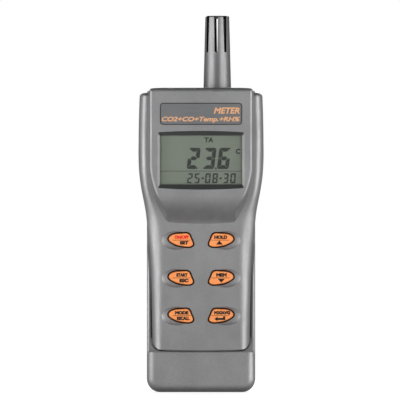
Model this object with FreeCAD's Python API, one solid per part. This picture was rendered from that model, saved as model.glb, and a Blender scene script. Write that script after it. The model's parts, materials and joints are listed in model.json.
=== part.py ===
import FreeCAD, Part
import math
import os

V = FreeCAD.Vector

# Hand-held carbon dioxide monitor, standing upright on its base.
# +Z runs up along the instrument, the display looks towards -Y, X is the width.
# All lengths are in millimetres.

# Overall
LENGTH = 205.0
FACE_Y = -28.0
REAR_Y = 28.0
WALL = 2.0
CLEAR = 0.3

# Shell outline, seen from the front
HANDLE_HALF = 29.45
HEAD_HALF = 34.0
WING_HALF = 33.45
BASE_CORNER = 7.2
WAIST_Z = 92.0
WIDEST_Z = 137.0
WING_TOP_Z = 162.9
WING_CORNER = 2.5
WING_EDGE_ROUND = 2.2
PANEL_EDGE_ROUND = 0.8
BAND_HALF = 27.5
BAND_TOP_Z = 165.0
BAND_CROWN = 0.6

# Depths
KEYPAD_Y = -21.0
SHOULDER_Y = -15.0
RIM_Y = -14.6
SEAM_Y = -12.0
CHIN_Y = -19.5
CHIN_TOP_Z = 21.7
CHIN_ROUND = 4.4
HANDLE_REAR_Y = 14.0
HANDLE_CROWN = 2.2
HEAD_CROWN = 6.0
CROWN_AT_X = 36.0
NECK_LOW_Z = 82.0
NECK_HIGH_Z = 104.0
REAR_ROUND = 2.2

# Keypad panel
PANEL_LOW_Z = 22.9
PANEL_SAG = 0.6
PANEL_CORNER = 5.5
PANEL_HALF = 26.45
GROOVE = 1.1
PANEL_FIT = 0.1
GROOVE_FLOOR_Y = -13.4
CHIN_GROOVE_Y = -17.2

# Display block
BLOCK_WALL = 1.6
BLOCK_ROUND = 1.4
BLOCK_FOOT_Y = -18.0
BLOCK_CROWN_R = 460.0
BLOCK_LEVELS = (122.0, 117.3, 110.8, 105.4, 101.2, 97.2, 93.6, 88.0)
BLOCK_FACE_HALF = (27.6, 27.0, 25.3, 22.9, 19.4, 15.2, 12.0, 8.5)
BLOCK_KEYPAD_HALF = (28.8, 28.3, 26.8, 25.1, 23.4, 21.2, 18.9, 15.5)
ROLL_HIGH_Z = 108.0
ROLL_LOW_Z = 91.4
ROLL_HIGH_PULL = 7.5
ROLL_LOW_PULL = 3.6
ROLL_LOW_SLOPE = 0.25

# Window and label plate
RECESS_HALF = 24.2
RECESS_LOW_Z = 110.2
RECESS_HIGH_Z = 142.1
OPENING_HALF = 22.4
OPENING_LOW_Z = 113.0
OPENING_HIGH_Z = 139.6
WINDOW_FRONT_Y = FACE_Y + WALL + 0.02
WINDOW_REAR_Y = FACE_Y + WALL + 1.2
LCD_FRONT_Y = -24.6
LCD_REAR_Y = -22.35
GLASS_HALF = 22.85
GLASS_LOW_Z = 111.6
GLASS_HIGH_Z = 141.1
LIGHT_REAR_Y = -19.6
LIGHT_HALF = 21.4
LIGHT_LOW_Z = 114.3
LIGHT_HIGH_Z = 138.3
ZEBRA_HALF = 20.5
ZEBRA_Z = (112.8, 139.9)
PLATE_HALF = 22.4
PLATE_LOW_Z = 145.3
PLATE_HIGH_Z = 157.4
PLATE_CORNER = 1.9
PLATE_DEPTH = 1.15
PLATE_THICK = 0.6

# Keys
KEY_X = 11.0
KEY_ROWS = (82.8, 62.25, 41.7)
KEY_TOP_Y = -22.0
KEY_GAP = 0.5
KEY_FLANGE_GROW = 0.9
KEY_ROUND = 0.7
KEY_NAMES = (
    ("power", "hold"),
    ("start", "memory"),
    ("mode", "average"),
)
FLANGE_FRONT_Y = -18.8
FLANGE_REAR_Y = -18.1
MAT_FRONT_Y = -17.0
MAT_REAR_Y = -16.2
PILL_FRONT_Y = -16.1
PILL_REAR_Y = -15.7
PILL_R = 2.4

# Main board
BOARD_FRONT_Y = -14.6
BOARD_REAR_Y = -13.0
BOARD_LOW_Z = 27.0
BOARD_STEP_Z = 113.0
BOARD_HIGH_Z = 160.0
BOARD_POSTS = ((0.0, 31.5), (0.0, 94.5), (-22.0, 158.0), (22.0, 158.0))
POST_R = 2.3
BOARD_SCREW_R = 0.8
BOARD_HOLE_R = 3.3

# Housing screws
UPPER_SCREW = (27.0, 151.0, -4.0)
LOWER_SCREW = (22.4, 88.5, -6.0)
BOSS_R = 3.8
FRONT_BOSS_R = 3.0
SCREW_HEAD_R = 2.6
SCREW_HEAD_H = 1.9
SCREW_R = 1.15
SCREW_TIP_Y = -17.6

# Probe
PROBE_X = 8.85
PROBE_TOP_R = 6.5
PROBE_BASE_R = 7.55
PROBE_WALL = 1.3
PROBE_FLANGE_R = 9.4
PROBE_FLANGE_Z = 158.0
PROBE_FLANGE_H = 2.6
SLOT_COUNT = 8
SLOT_TURN = -6.0
SLOT_LOW_Z = 185.0
SLOT_LOW_W = 1.6
SLOT_HIGH_W = 2.2

# Cells and their compartment
CELL_R = 7.25
CELL_LENGTH = 50.5
CELL_NUB_R = 2.7
CELL_NUB_H = 1.3
CELL_Y = 3.3
CELL_LOW_Z = 22.3
CELL_PITCH = 14.9
CELL_COUNT = 4
TRAY_FRONT_Y = -5.7
TRAY_WALL = 1.3
TRAY_LOW_Z = 11.6
TRAY_HIGH_Z = 78.6

# Battery door
DOOR_HALF = 26.2
DOOR_LOW_Z = 9.0
DOOR_HIGH_Z = 80.5
TAB_X = 14.0

# Sensor board, behind the main board
SENSOR_FRONT_Y = 2.0
SENSOR_REAR_Y = 3.6
SENSOR_HALF = 20.5
SENSOR_LOW_Z = 104.0
SENSOR_HIGH_Z = 147.0

# Sensors on the sensor board, and the vents behind them
CO_X = -8.5
CO_Z = 115.5
CO_R = 10.0
CO_TOP_Y = SENSOR_REAR_Y + 18.5
CO_PIN_CIRCLE_R = 6.5
BUZZER_X = 11.5
BUZZER_Z = 116.0
BUZZER_TOP_Y = SENSOR_REAR_Y + 6.5
CHAMBER_HALF = 17.5
CHAMBER_Z = (128.0, 143.0)
CHAMBER_TOP_Y = SENSOR_REAR_Y + 9.0
MEMBRANE_HALF = 8.0
MEMBRANE_Z = (132.0, 139.0)
VENT_ROWS = 6
VENT_PITCH = 5.2
VENT_LOW_Z = 112.0
VENT_WIDTH = 1.8
VENT_X = (2.0, 17.0)

# Sockets on the right side
DATA_JACK_X = 31.7
POWER_JACK_X = 33.2
DATA_JACK_Z = 111.5
DATA_JACK_Y = -7.9
DATA_BORE_R = 1.8
DATA_NOSE_R = 3.1
POWER_JACK_Z = 126.5
POWER_JACK_Y = -7.6
POWER_BORE_R = 2.8
POWER_NOSE_R = 4.0
POWER_PIN_R = 1.0


# ---------------------------------------------------------------- helpers

def box(x0, x1, y0, y1, z0, z1):
    return Part.makeBox(x1 - x0, y1 - y0, z1 - z0, V(x0, y0, z0))


def rod_y(x, z, y0, y1, r):
    return Part.makeCylinder(r, y1 - y0, V(x, y0, z), V(0, 1, 0))


def rod_x(y, z, x0, x1, r):
    return Part.makeCylinder(r, x1 - x0, V(x0, y, z), V(1, 0, 0))


def rod_z(x, y, z0, z1, r):
    return Part.makeCylinder(r, z1 - z0, V(x, y, z0), V(0, 0, 1))


def line(a, b):
    return Part.LineSegment(a, b).toShape()


def arc(a, b, c):
    return Part.Arc(a, b, c).toShape()


def corner_arc(cx, cz, r, start, end, y=0.0):
    """A quarter arc about (cx, cz), from one angle to another in degrees."""
    turns = [math.radians(start), math.radians((start + end) / 2), math.radians(end)]
    return arc(*[V(cx + r * math.cos(t), y, cz + r * math.sin(t)) for t in turns])


def spline(points, first=None, last=None):
    curve = Part.BSplineCurve()
    if first is None:
        curve.interpolate(points)
    else:
        curve.interpolate(Points=points, InitialTangent=first, FinalTangent=last)
    return curve.toShape()


def mirrored(shape):
    return shape.mirror(V(0, 0, 0), V(1, 0, 0))


def face_of(half_edges):
    """A face from the right half of an outline whose ends lie on x = 0."""
    edges = half_edges + [mirrored(e) for e in half_edges]
    return Part.Face(Part.Wire(Part.__sortEdges__(edges)))


def prism(face, y0, y1):
    moved = face.copy()
    moved.translate(V(0, y0 - face.BoundBox.YMin, 0))
    return moved.extrude(V(0, y1 - y0, 0))


def rounded_wire(x0, x1, z0, z1, r, y):
    edges = [
        line(V(x0 + r, y, z0), V(x1 - r, y, z0)),
        corner_arc(x1 - r, z0 + r, r, 270, 360, y),
        line(V(x1, y, z0 + r), V(x1, y, z1 - r)),
        corner_arc(x1 - r, z1 - r, r, 0, 90, y),
        line(V(x1 - r, y, z1), V(x0 + r, y, z1)),
        corner_arc(x0 + r, z1 - r, r, 90, 180, y),
        line(V(x0, y, z1 - r), V(x0, y, z0 + r)),
        corner_arc(x0 + r, z0 + r, r, 180, 270, y),
    ]
    return Part.Wire(edges)


def rounded_plate(x0, x1, z0, z1, r, y0, y1):
    return Part.Face(rounded_wire(x0, x1, z0, z1, r, y0)).extrude(V(0, y1 - y0, 0))


def join(shapes):
    first = shapes[0]
    return first.fuse(shapes[1:]).removeSplitter()


def group(solids):
    return Part.makeCompound(solids)


def both_sides(x, z, y):
    return ((x, z, y), (-x, z, y))


def save(name, shape):
    shape.exportStep("parts/" + name + ".step")


# ---------------------------------------------------------------- shell outlines

def shell_face(inset=0.0):
    """The outline of the whole shell without its probe, in the plane y = 0, moved inwards by inset."""
    half = HANDLE_HALF - inset
    corner = BASE_CORNER - inset
    wing_r = WING_CORNER - 0.75 * inset
    wing_x = WING_HALF - inset - wing_r
    wing_top = WING_TOP_Z - inset
    band_half = BAND_HALF - inset
    side = [
        V(half, 0, WAIST_Z),
        V(30.4 - inset, 0, 100.0),
        V(32.15 - inset, 0, 108.7),
        V(33.5 - inset, 0, 117.6),
        V(HEAD_HALF - inset, 0, WIDEST_Z),
        V(wing_x + wing_r, 0, wing_top - wing_r),
    ]
    edges = [
        line(V(0, 0, inset), V(half - corner, 0, inset)),
        corner_arc(half - corner, inset + corner, corner, 270, 360),
        line(V(half, 0, inset + corner), V(half, 0, WAIST_Z)),
        spline(side, V(0, 0, 1), V(0, 0, 1)),
        corner_arc(wing_x, wing_top - wing_r, wing_r, 0, 90),
        line(V(wing_x, 0, wing_top), V(band_half + 1.6, 0, wing_top)),
        line(V(band_half + 1.6, 0, wing_top), V(band_half, 0, BAND_TOP_Z - inset)),
        band_crown(band_half, BAND_TOP_Z - inset),
    ]
    return face_of(edges)


def band_crown(half, z, y=0.0):
    """The right half of the line over the top: nearly level, and bent down near its end."""
    shoulder = V(half - 4.5, y, z + 0.8 * BAND_CROWN)
    return spline([V(half, y, z), shoulder, V(0, y, z + BAND_CROWN)], V(-1, 0, 0.25), V(-1, 0, 0))


def rear_profile(x, handle_y, head_y, inset):
    """The side view of the back: straight handle, neck curve, deep head, rounded top."""
    top = BAND_TOP_Z + BAND_CROWN + 1.0 - inset
    low = -5.0
    far = -40.0
    neck_low = NECK_LOW_Z + inset / 2
    neck_high = NECK_HIGH_Z + inset / 2
    neck_mid = (neck_low + neck_high) / 2
    head_end = top - 13.0
    neck = Part.BezierCurve()
    neck.setPoles([
        V(x, handle_y, neck_low),
        V(x, handle_y, neck_mid),
        V(x, head_y, neck_mid),
        V(x, head_y, neck_high),
    ])
    crest = Part.BezierCurve()
    crest.setPoles([
        V(x, head_y, head_end),
        V(x, head_y, top - 3.0),
        V(x, head_y - 6.0, top),
        V(x, head_y - 15.0, top),
    ])
    return Part.Wire([
        line(V(x, far, low), V(x, handle_y, low)),
        line(V(x, handle_y, low), V(x, handle_y, neck_low)),
        neck.toShape(),
        line(V(x, head_y, neck_high), V(x, head_y, head_end)),
        crest.toShape(),
        line(V(x, head_y - 15.0, top), V(x, far, top)),
        line(V(x, far, top), V(x, far, low)),
    ])


def rear_form(inset):
    """The block behind which nothing of the shell reaches, crowned across its width."""
    handle = HANDLE_REAR_Y - inset
    head = REAR_Y - inset
    side = rear_profile(-CROWN_AT_X, handle - HANDLE_CROWN, head - HEAD_CROWN, inset)
    middle = rear_profile(0.0, handle, head, inset)
    other = rear_profile(CROWN_AT_X, handle - HANDLE_CROWN, head - HEAD_CROWN, inset)
    return Part.makeLoft([side, middle, other], True, False)


def rear_outer():
    solid = prism(shell_face(), SEAM_Y, REAR_Y + 2.0).common(rear_form(0.0))
    edges = [e for e in solid.Edges if is_back_edge(e)]
    return solid.makeFillet(REAR_ROUND, edges)


def is_back_edge(edge):
    """True for the edges where the back meets the sides and the base."""
    bounds = edge.BoundBox
    return bounds.YMin > SEAM_Y + 15 and bounds.ZMax < 156.0 and bounds.XLength < 50.0


def rear_inner():
    face = shell_face(WALL)
    return prism(face, SEAM_Y - 10.0, REAR_Y).common(rear_form(WALL))


# ---------------------------------------------------------------- front housing

def panel_stations():
    """Height, half-width of the flat and half-width of the foot, along the keypad panel and the wings."""
    return (
        (20.0, 21.2, PANEL_HALF - 0.05),
        (45.0, 21.0, 26.8),
        (62.0, 20.7, 27.2),
        (78.0, 20.4, 28.1),
        (88.0, 20.9, 29.05),
        (WAIST_Z, 21.8, HANDLE_HALF),
        (97.0, 23.6, 29.95),
        (102.0, 26.0, 30.8),
        (108.0, 28.2, 32.0),
        (114.0, 29.2, 33.0),
        (122.0, 29.7, 33.75),
        (WIDEST_Z, 29.9, HEAD_HALF),
        (150.0, 29.6, 33.8),
        (164.0, 29.2, 33.3),
    )


def eased(table, z):
    """A smooth value between the stations of a table of (height, value) pairs, without overshoot."""
    slopes = []
    for i in range(len(table) - 1):
        slopes.append((table[i + 1][1] - table[i][1]) / (table[i + 1][0] - table[i][0]))
    inner = [steady_slope(slopes[i], slopes[i + 1]) for i in range(len(slopes) - 1)]
    ends = [slopes[0]] + inner + [slopes[-1]]
    at = 0
    while at < len(slopes) - 1 and z > table[at + 1][0]:
        at += 1
    span = table[at + 1][0] - table[at][0]
    t = (z - table[at][0]) / span
    start = (1 + 2 * t) * (1 - t) ** 2 * table[at][1] + t * (1 - t) ** 2 * span * ends[at]
    finish = t * t * (3 - 2 * t) * table[at + 1][1] + t * t * (t - 1) * span * ends[at + 1]
    return start + finish


def steady_slope(before, after):
    if before * after <= 0:
        return 0.0
    return 2 * before * after / (before + after)


def panel_levels():
    """Evenly spaced levels of the panel, so that the surface lofted through them runs smoothly."""
    flats = [(z, flat) for z, flat, _ in panel_stations()]
    feet = [(z, foot) for z, _, foot in panel_stations()]
    low = flats[0][0]
    count = 36
    step = (flats[-1][0] - low) / count
    levels = [low + i * step for i in range(count + 1)]
    return [(z, eased(flats, z), eased(feet, z)) for z in levels]


def panel_section(z, flat, foot, inset, back_y):
    """One level cross-section of the panel: a flat, two rounded shoulders and straight sides."""
    front = KEYPAD_Y + inset
    flat = flat - inset / 2
    foot = foot - inset
    bulge = 0.5523
    edges = []
    for side in (1, -1):
        shoulder = Part.BezierCurve()
        shoulder.setPoles([
            V(side * flat, front, z),
            V(side * (flat + bulge * (foot - flat)), front, z),
            V(side * foot, SHOULDER_Y - bulge * (SHOULDER_Y - front), z),
            V(side * foot, SHOULDER_Y, z),
        ])
        edges.append(shoulder.toShape())
        edges.append(line(V(side * foot, SHOULDER_Y, z), V(side * foot, back_y, z)))
    edges.append(line(V(-flat, front, z), V(flat, front, z)))
    edges.append(line(V(-foot, back_y, z), V(foot, back_y, z)))
    return Part.Wire(Part.__sortEdges__(edges))


def corner_cutter(x, z, r, up):
    """What a rounded corner of radius r removes outside the corner at (x, z)."""
    reach = 6.0
    if up:
        block = box(x - r, x + reach, KEYPAD_Y - 10, SEAM_Y + 10, z - r, z + reach)
        centre_z = z - r
    else:
        block = box(x - r, x + reach, KEYPAD_Y - 10, SEAM_Y + 10, z - reach, z + r)
        centre_z = z + r
    return block.cut(rod_y(x - r, centre_z, KEYPAD_Y - 11, SEAM_Y + 11, r))


def front_edges(solid):
    """The panel's edges in front of its straight sides."""
    return [e for e in solid.Edges if e.BoundBox.YMin < SHOULDER_Y - 0.1]


def panel_form(inset, back_y):
    sections = [panel_section(z, flat, foot, inset, back_y) for z, flat, foot in panel_levels()]
    solid = Part.makeLoft(sections, True, False)
    sag = PANEL_SAG
    low = PANEL_LOW_Z + inset
    high = WING_TOP_Z - inset
    half = HEAD_HALF + 2
    keep = Part.Face(Part.Wire([
        arc(V(-PANEL_HALF, 0, low), V(0, 0, low - sag), V(PANEL_HALF, 0, low)),
        line(V(PANEL_HALF, 0, low), V(half, 0, low)),
        line(V(half, 0, low), V(half, 0, high)),
        line(V(half, 0, high), V(-half, 0, high)),
        line(V(-half, 0, high), V(-half, 0, low)),
        line(V(-half, 0, low), V(-PANEL_HALF, 0, low)),
    ]))
    solid = solid.common(prism(keep, KEYPAD_Y - 5, back_y + 5))
    if inset == 0:
        top = [e for e in front_edges(solid) if e.BoundBox.ZMin > high - 0.01]
        solid = solid.makeFillet(WING_EDGE_ROUND, top)
        foot = [e for e in front_edges(solid) if e.BoundBox.ZMax < low + 0.1]
        solid = solid.makeFillet(PANEL_EDGE_ROUND, foot)
    low_corner = corner_cutter(PANEL_HALF - inset, low, PANEL_CORNER - inset / 2, False)
    high_corner = corner_cutter(WING_HALF - inset, high, WING_CORNER, True)
    return solid.cut([low_corner, mirrored(low_corner), high_corner, mirrored(high_corner)])


def block_outline(widths, y, top, corner_x):
    """The closed outline of the raised display block at one depth, from its half-widths down its sides."""
    side = [V(half, y, z) for half, z in zip(widths, BLOCK_LEVELS)]
    low = BLOCK_LEVELS[-1]
    edges = [
        line(V(0, y, low), V(widths[-1], y, low)),
        spline(side, V(0, 0, -1), V(0, 0, -1)),
        line(V(widths[0], y, BLOCK_LEVELS[0]), V(widths[0], y, top - 1.3)),
        line(V(widths[0], y, top - 1.3), V(corner_x, y, top)),
        band_crown(corner_x, top, y),
    ]
    edges += [mirrored(e) for e in edges]
    return Part.Wire(Part.__sortEdges__(edges))


def block_form(inset):
    """The display block with drafted sides, which lean out most where the block runs into the keypad."""
    top = BAND_TOP_Z - inset
    corner_x = BAND_HALF - inset
    reach = (BLOCK_FOOT_Y - KEYPAD_Y) / (KEYPAD_Y - FACE_Y)
    face = [half - inset for half in BLOCK_FACE_HALF]
    foot = [half + (half - other) * reach - inset for half, other in zip(BLOCK_KEYPAD_HALF, BLOCK_FACE_HALF)]
    front = block_outline(face, FACE_Y, top, corner_x)
    back = block_outline(foot, BLOCK_FOOT_Y, top, corner_x)
    return Part.makeLoft([front, back], True, True)


def block_profile(inset, back_y, x):
    """The side view of the block: rounded top, flat face, roll down to the keypad plane."""
    face = FACE_Y + inset
    foot = KEYPAD_Y + 0.05 + inset
    top = BAND_TOP_Z + BAND_CROWN - inset
    r = 2.5
    roll = Part.BezierCurve()
    roll.setPoles([
        V(x, face, ROLL_HIGH_Z),
        V(x, face, ROLL_HIGH_Z - ROLL_HIGH_PULL),
        V(x, foot - ROLL_LOW_SLOPE * ROLL_LOW_PULL, ROLL_LOW_Z + ROLL_LOW_PULL),
        V(x, foot, ROLL_LOW_Z),
    ])
    tilt = math.radians(45)
    crest = V(x, face + r - r * math.cos(tilt), top - r + r * math.sin(tilt))
    return Part.Face(Part.Wire([
        line(V(x, back_y, 85.0), V(x, foot, 85.0)),
        line(V(x, foot, 85.0), V(x, foot, ROLL_LOW_Z)),
        roll.toShape(),
        line(V(x, face, ROLL_HIGH_Z), V(x, face, top - r)),
        arc(V(x, face, top - r), crest, V(x, face + r, top)),
        line(V(x, face + r, top), V(x, back_y, top)),
        line(V(x, back_y, top), V(x, back_y, 85.0)),
    ]))


def level_side(inset, back_y):
    """The block's side view drawn straight across the width."""
    far = HEAD_HALF + 4
    return block_profile(inset, back_y, -far).extrude(V(2 * far, 0, 0))


def crowned_side(back_y):
    """The block's side view swept round a far upright axis, so that its face is slightly crowned."""
    axis = V(0, FACE_Y + BLOCK_CROWN_R, 0)
    reach = math.degrees(math.asin((HEAD_HALF + 4) / BLOCK_CROWN_R))
    profile = block_profile(0.0, back_y, 0.0)
    profile.rotate(axis, V(0, 0, 1), -reach)
    return profile.revolve(axis, V(0, 0, 1), 2 * reach)


def block_outer():
    solid = block_form(0.0).common(crowned_side(BLOCK_FOOT_Y + 1.0))
    edges = [e for e in solid.Edges if is_block_rim(e)]
    return solid.makeFillet(BLOCK_ROUND, edges)


def is_block_rim(edge):
    """True for the front edges along the block's two sides."""
    bounds = edge.BoundBox
    on_side = bounds.XMin > 12.0 or bounds.XMax < -12.0
    return on_side and bounds.YMax < -20.0 and bounds.ZLength > 4.0 and bounds.ZMax < 163.8


def block_inner():
    solid = block_form(BLOCK_WALL).common(level_side(WALL, SEAM_Y))
    above_neck = box(-40, 40, FACE_Y, 0, 112.0, LENGTH)
    behind = prism(shell_face(WALL), BLOCK_FOOT_Y - 0.5, SEAM_Y + 1).common(above_neck)
    return solid.fuse(behind).cut(box(-40, 40, FACE_Y, SEAM_Y + 1, 80, 97.0))


def key_outline(side, row_z, grow, y):
    """The outline of a key: round towards the shell's edge, with a low corner towards the middle."""
    points = (
        (-7.35, 0.9),
        (-6.6, 2.4),
        (-4.8, 3.55),
        (-2.2, 4.2),
        (1.2, 4.4),
        (4.0, 4.25),
        (5.2, 3.45),
        (6.3, 1.0),
        (7.3, -1.4),
        (7.3, -2.9),
        (6.2, -3.95),
        (2.0, -4.3),
        (-2.4, -3.5),
        (-5.2, -2.1),
        (-7.0, -0.6),
    )
    places = []
    for u, w in points:
        reach = math.hypot(u, w)
        scale = (reach + grow) / reach
        places.append(V(side * (KEY_X - u * scale), y, row_z + w * scale))
    curve = Part.BSplineCurve()
    curve.interpolate(Points=places, PeriodicFlag=True)
    return Part.Face(Part.Wire([curve.toShape()]))


def key_prism(side, row_z, grow, y0, y1):
    return key_outline(side, row_z, grow, y0).extrude(V(0, y1 - y0, 0))


def key_places():
    """Name, side and height of every key."""
    for names, row_z in zip(KEY_NAMES, KEY_ROWS):
        for name, side in zip(names, (-1, 1)):
            yield name, side, row_z


def key_scoop(side, row_z):
    """The shallow dish round a key, a squashed ball that dips into the panel."""
    ball = Part.makeSphere(1.0)
    shape = FreeCAD.Matrix()
    shape.A11 = 9.4
    shape.A22 = 2.2
    shape.A33 = 5.9
    dish = ball.transformGeometry(shape)
    dish.translate(V(side * (KEY_X + 2.3), KEYPAD_Y - 1.1, row_z - 0.2))
    return dish


def window_cut():
    outer = rounded_wire(-RECESS_HALF, RECESS_HALF, RECESS_LOW_Z, RECESS_HIGH_Z, 1.6, FACE_Y)
    inner = rounded_wire(-OPENING_HALF, OPENING_HALF, OPENING_LOW_Z, OPENING_HIGH_Z, 0.6, FACE_Y + WALL)
    bevel = Part.makeLoft([outer, inner], True, True)
    lead = rounded_plate(-RECESS_HALF, RECESS_HALF, RECESS_LOW_Z, RECESS_HIGH_Z, 1.6, FACE_Y - 1, FACE_Y)
    through = rounded_plate(
        -OPENING_HALF, OPENING_HALF, OPENING_LOW_Z, OPENING_HIGH_Z, 0.6, FACE_Y + WALL, FACE_Y + WALL + 1
    )
    return [bevel, lead, through]


def front_posts():
    """Posts for the main board and bosses for the housing screws, grown from the front wall."""
    shapes = []
    for x, z in BOARD_POSTS:
        front = KEYPAD_Y + 1.0
        if z > ROLL_HIGH_Z:
            front = FACE_Y + 1.5
        shapes.append(rod_y(x, z, front, BOARD_FRONT_Y, POST_R))
    for x, z, seat in (UPPER_SCREW, LOWER_SCREW):
        for sx, sz, _ in both_sides(x, z, seat):
            shapes.append(rod_y(sx, sz, KEYPAD_Y + 1.2, SEAM_Y, FRONT_BOSS_R))
    return shapes


def front_holes():
    shapes = []
    for x, z in BOARD_POSTS:
        shapes.append(rod_y(x, z, BOARD_FRONT_Y - 4.0, BOARD_FRONT_Y, BOARD_SCREW_R + 0.02))
    for x, z, seat in (UPPER_SCREW, LOWER_SCREW):
        for sx, sz, _ in both_sides(x, z, seat):
            shapes.append(rod_y(sx, sz, SCREW_TIP_Y - 0.4, SEAM_Y, SCREW_R + 0.02))
    return shapes


def band():
    """The raised strip over the top of the shell, from the display block back to the seam."""
    reach = BLOCK_KEYPAD_HALF[0] + 1.0
    return prism(shell_face(), BLOCK_FOOT_Y - 1, SEAM_Y).common(
        box(-reach, reach, BLOCK_FOOT_Y - 1, SEAM_Y, WING_TOP_Z - 8, LENGTH)
    )


def front_housing():
    outer = panel_form(0.0, SEAM_Y).fuse([block_outer(), band()])
    inner = panel_form(WALL, SEAM_Y + 1).fuse(block_inner())
    shell = outer.cut(inner)
    posts = join(front_posts()).common(outer)
    shell = shell.fuse(posts)
    cuts = window_cut()
    cuts.append(rounded_plate(
        -PLATE_HALF, PLATE_HALF, PLATE_LOW_Z, PLATE_HIGH_Z, PLATE_CORNER, FACE_Y - 1, FACE_Y + PLATE_DEPTH
    ))
    for _, side, row_z in key_places():
        cuts.append(key_prism(side, row_z, 0.0, KEYPAD_Y - 2, KEYPAD_Y + WALL + 0.5))
        cuts.append(key_scoop(side, row_z))
    cuts.extend(front_holes())
    return shell.cut(cuts)


# ---------------------------------------------------------------- rear housing

def chin():
    """The front of the base, below the keypad panel, rounded over towards the bottom and the sides."""
    solid = prism(shell_face(), CHIN_Y, SEAM_Y + 1).common(box(-40, 40, CHIN_Y, SEAM_Y + 1, 0, CHIN_TOP_Z))
    front = [e for e in solid.Edges if e.BoundBox.YMax < CHIN_Y + 0.01]
    return solid.makeFillet(CHIN_ROUND, [e for e in front if e.BoundBox.ZMin < CHIN_TOP_Z - 0.1])


def ledge():
    """The floor of the groove between the chin and the lower edge of the panel."""
    low_z = CHIN_TOP_Z - 1
    high_z = PANEL_LOW_Z - PANEL_SAG - PANEL_FIT
    return prism(shell_face(), CHIN_GROOVE_Y, SEAM_Y + 1).common(box(-40, 40, -40, 0, low_z, high_z))


def rim():
    """The lip of the rear shell beside the keypad panel, with a groove between the two."""
    lip = prism(shell_face(), RIM_Y, SEAM_Y + 1).common(box(-40, 40, RIM_Y, SEAM_Y + 1, 5.0, WAIST_Z))
    edges = [e for e in lip.Edges if is_rim_edge(e)]
    return lip.makeFillet(1.2, edges)


def is_rim_edge(edge):
    """True for the front edges along the two straight sides of the rim."""
    bounds = edge.BoundBox
    on_side = abs(abs(bounds.XMin) - HANDLE_HALF) < 0.1 and bounds.XLength < 0.1
    return on_side and bounds.YMax < RIM_Y + 0.01


def panel_room(gap, rear_y, low_z):
    """The panel's own outline, grown by a gap, from in front of the shell to rear_y."""
    front_y = CHIN_Y - 2
    sections = []
    for z, _, foot in panel_levels():
        wide = foot + gap
        sections.append(Part.Wire([
            line(V(-wide, front_y, z), V(wide, front_y, z)),
            line(V(wide, front_y, z), V(wide, rear_y, z)),
            line(V(wide, rear_y, z), V(-wide, rear_y, z)),
            line(V(-wide, rear_y, z), V(-wide, front_y, z)),
        ]))
    solid = Part.makeLoft(sections, True, False)
    solid = solid.common(box(-40, 40, front_y - 1, rear_y, low_z, 170))
    corner = corner_cutter(PANEL_HALF + gap, low_z, PANEL_CORNER + gap / 2, False)
    return solid.cut([corner, mirrored(corner)])


def panel_clearance():
    """Room for the panel: a close fit at the seam and an open groove with a floor in front of it."""
    low_z = PANEL_LOW_Z - PANEL_SAG - PANEL_FIT
    fit = panel_room(PANEL_FIT, SEAM_Y, low_z)
    groove = panel_room(GROOVE, GROOVE_FLOOR_Y, low_z)
    chin_groove = panel_room(GROOVE, CHIN_GROOVE_Y, CHIN_TOP_Z)
    return [fit, groove, chin_groove]


def chin_hollow():
    face = shell_face(WALL)
    below = box(-40, 40, CHIN_Y, SEAM_Y + 2, 0, CHIN_TOP_Z - WALL)
    return prism(face, CHIN_Y + WALL, SEAM_Y + 2).common(below)


def tray(inner):
    """The walls of the battery compartment, trimmed to the inside of the shell."""
    floor = box(-30, 30, TRAY_FRONT_Y, 11.5, TRAY_LOW_Z, TRAY_LOW_Z + TRAY_WALL)
    roof = box(-30, 30, TRAY_FRONT_Y, 20, TRAY_HIGH_Z, TRAY_HIGH_Z + TRAY_WALL)
    back = box(-30, 30, TRAY_FRONT_Y, TRAY_FRONT_Y + TRAY_WALL, TRAY_LOW_Z, TRAY_HIGH_Z + TRAY_WALL)
    rooms = [box(-6.0, 6.0, 7.0, 20, TRAY_HIGH_Z - 1, TRAY_HIGH_Z + TRAY_WALL + 1)]
    for x in (-TAB_X, TAB_X):
        rooms.append(box(x - 3.6, x + 3.6, 9.4, 20, TRAY_LOW_Z - 1, TRAY_LOW_Z + TRAY_WALL + 1))
    return join([floor, roof, back]).cut(rooms).common(inner)


def rear_bosses(outer):
    shapes = []
    for x, z, seat in (UPPER_SCREW, LOWER_SCREW):
        for sx, sz, _ in both_sides(x, z, seat):
            shapes.append(rod_y(sx, sz, SEAM_Y + 0.05, REAR_Y, BOSS_R))
    return join(shapes).common(outer)


def rear_holes():
    shapes = []
    for x, z, seat in (UPPER_SCREW, LOWER_SCREW):
        for sx, sz, seat_y in both_sides(x, z, seat):
            shapes.append(rod_y(sx, sz, seat_y, REAR_Y + 2, SCREW_HEAD_R + 0.25))
            shapes.append(rod_y(sx, sz, SEAM_Y, seat_y, SCREW_R + 0.35))
    return shapes


def vents():
    """Two columns of level slots through the back of the head, where the gas reaches the sensors."""
    slots = []
    near, far = VENT_X
    for x0, x1 in ((-far, -near), (near, far)):
        for step in range(VENT_ROWS):
            z = VENT_LOW_Z + step * VENT_PITCH
            half = VENT_WIDTH / 2
            slots.append(rounded_plate(x0, x1, z - half, z + half, half - 0.02, 15.0, REAR_Y + 1))
    return slots


def door_room():
    return box(-DOOR_HALF - 0.25, DOOR_HALF + 0.25, 5.0, 30.0, DOOR_LOW_Z - CLEAR, DOOR_HIGH_Z + CLEAR)


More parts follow.
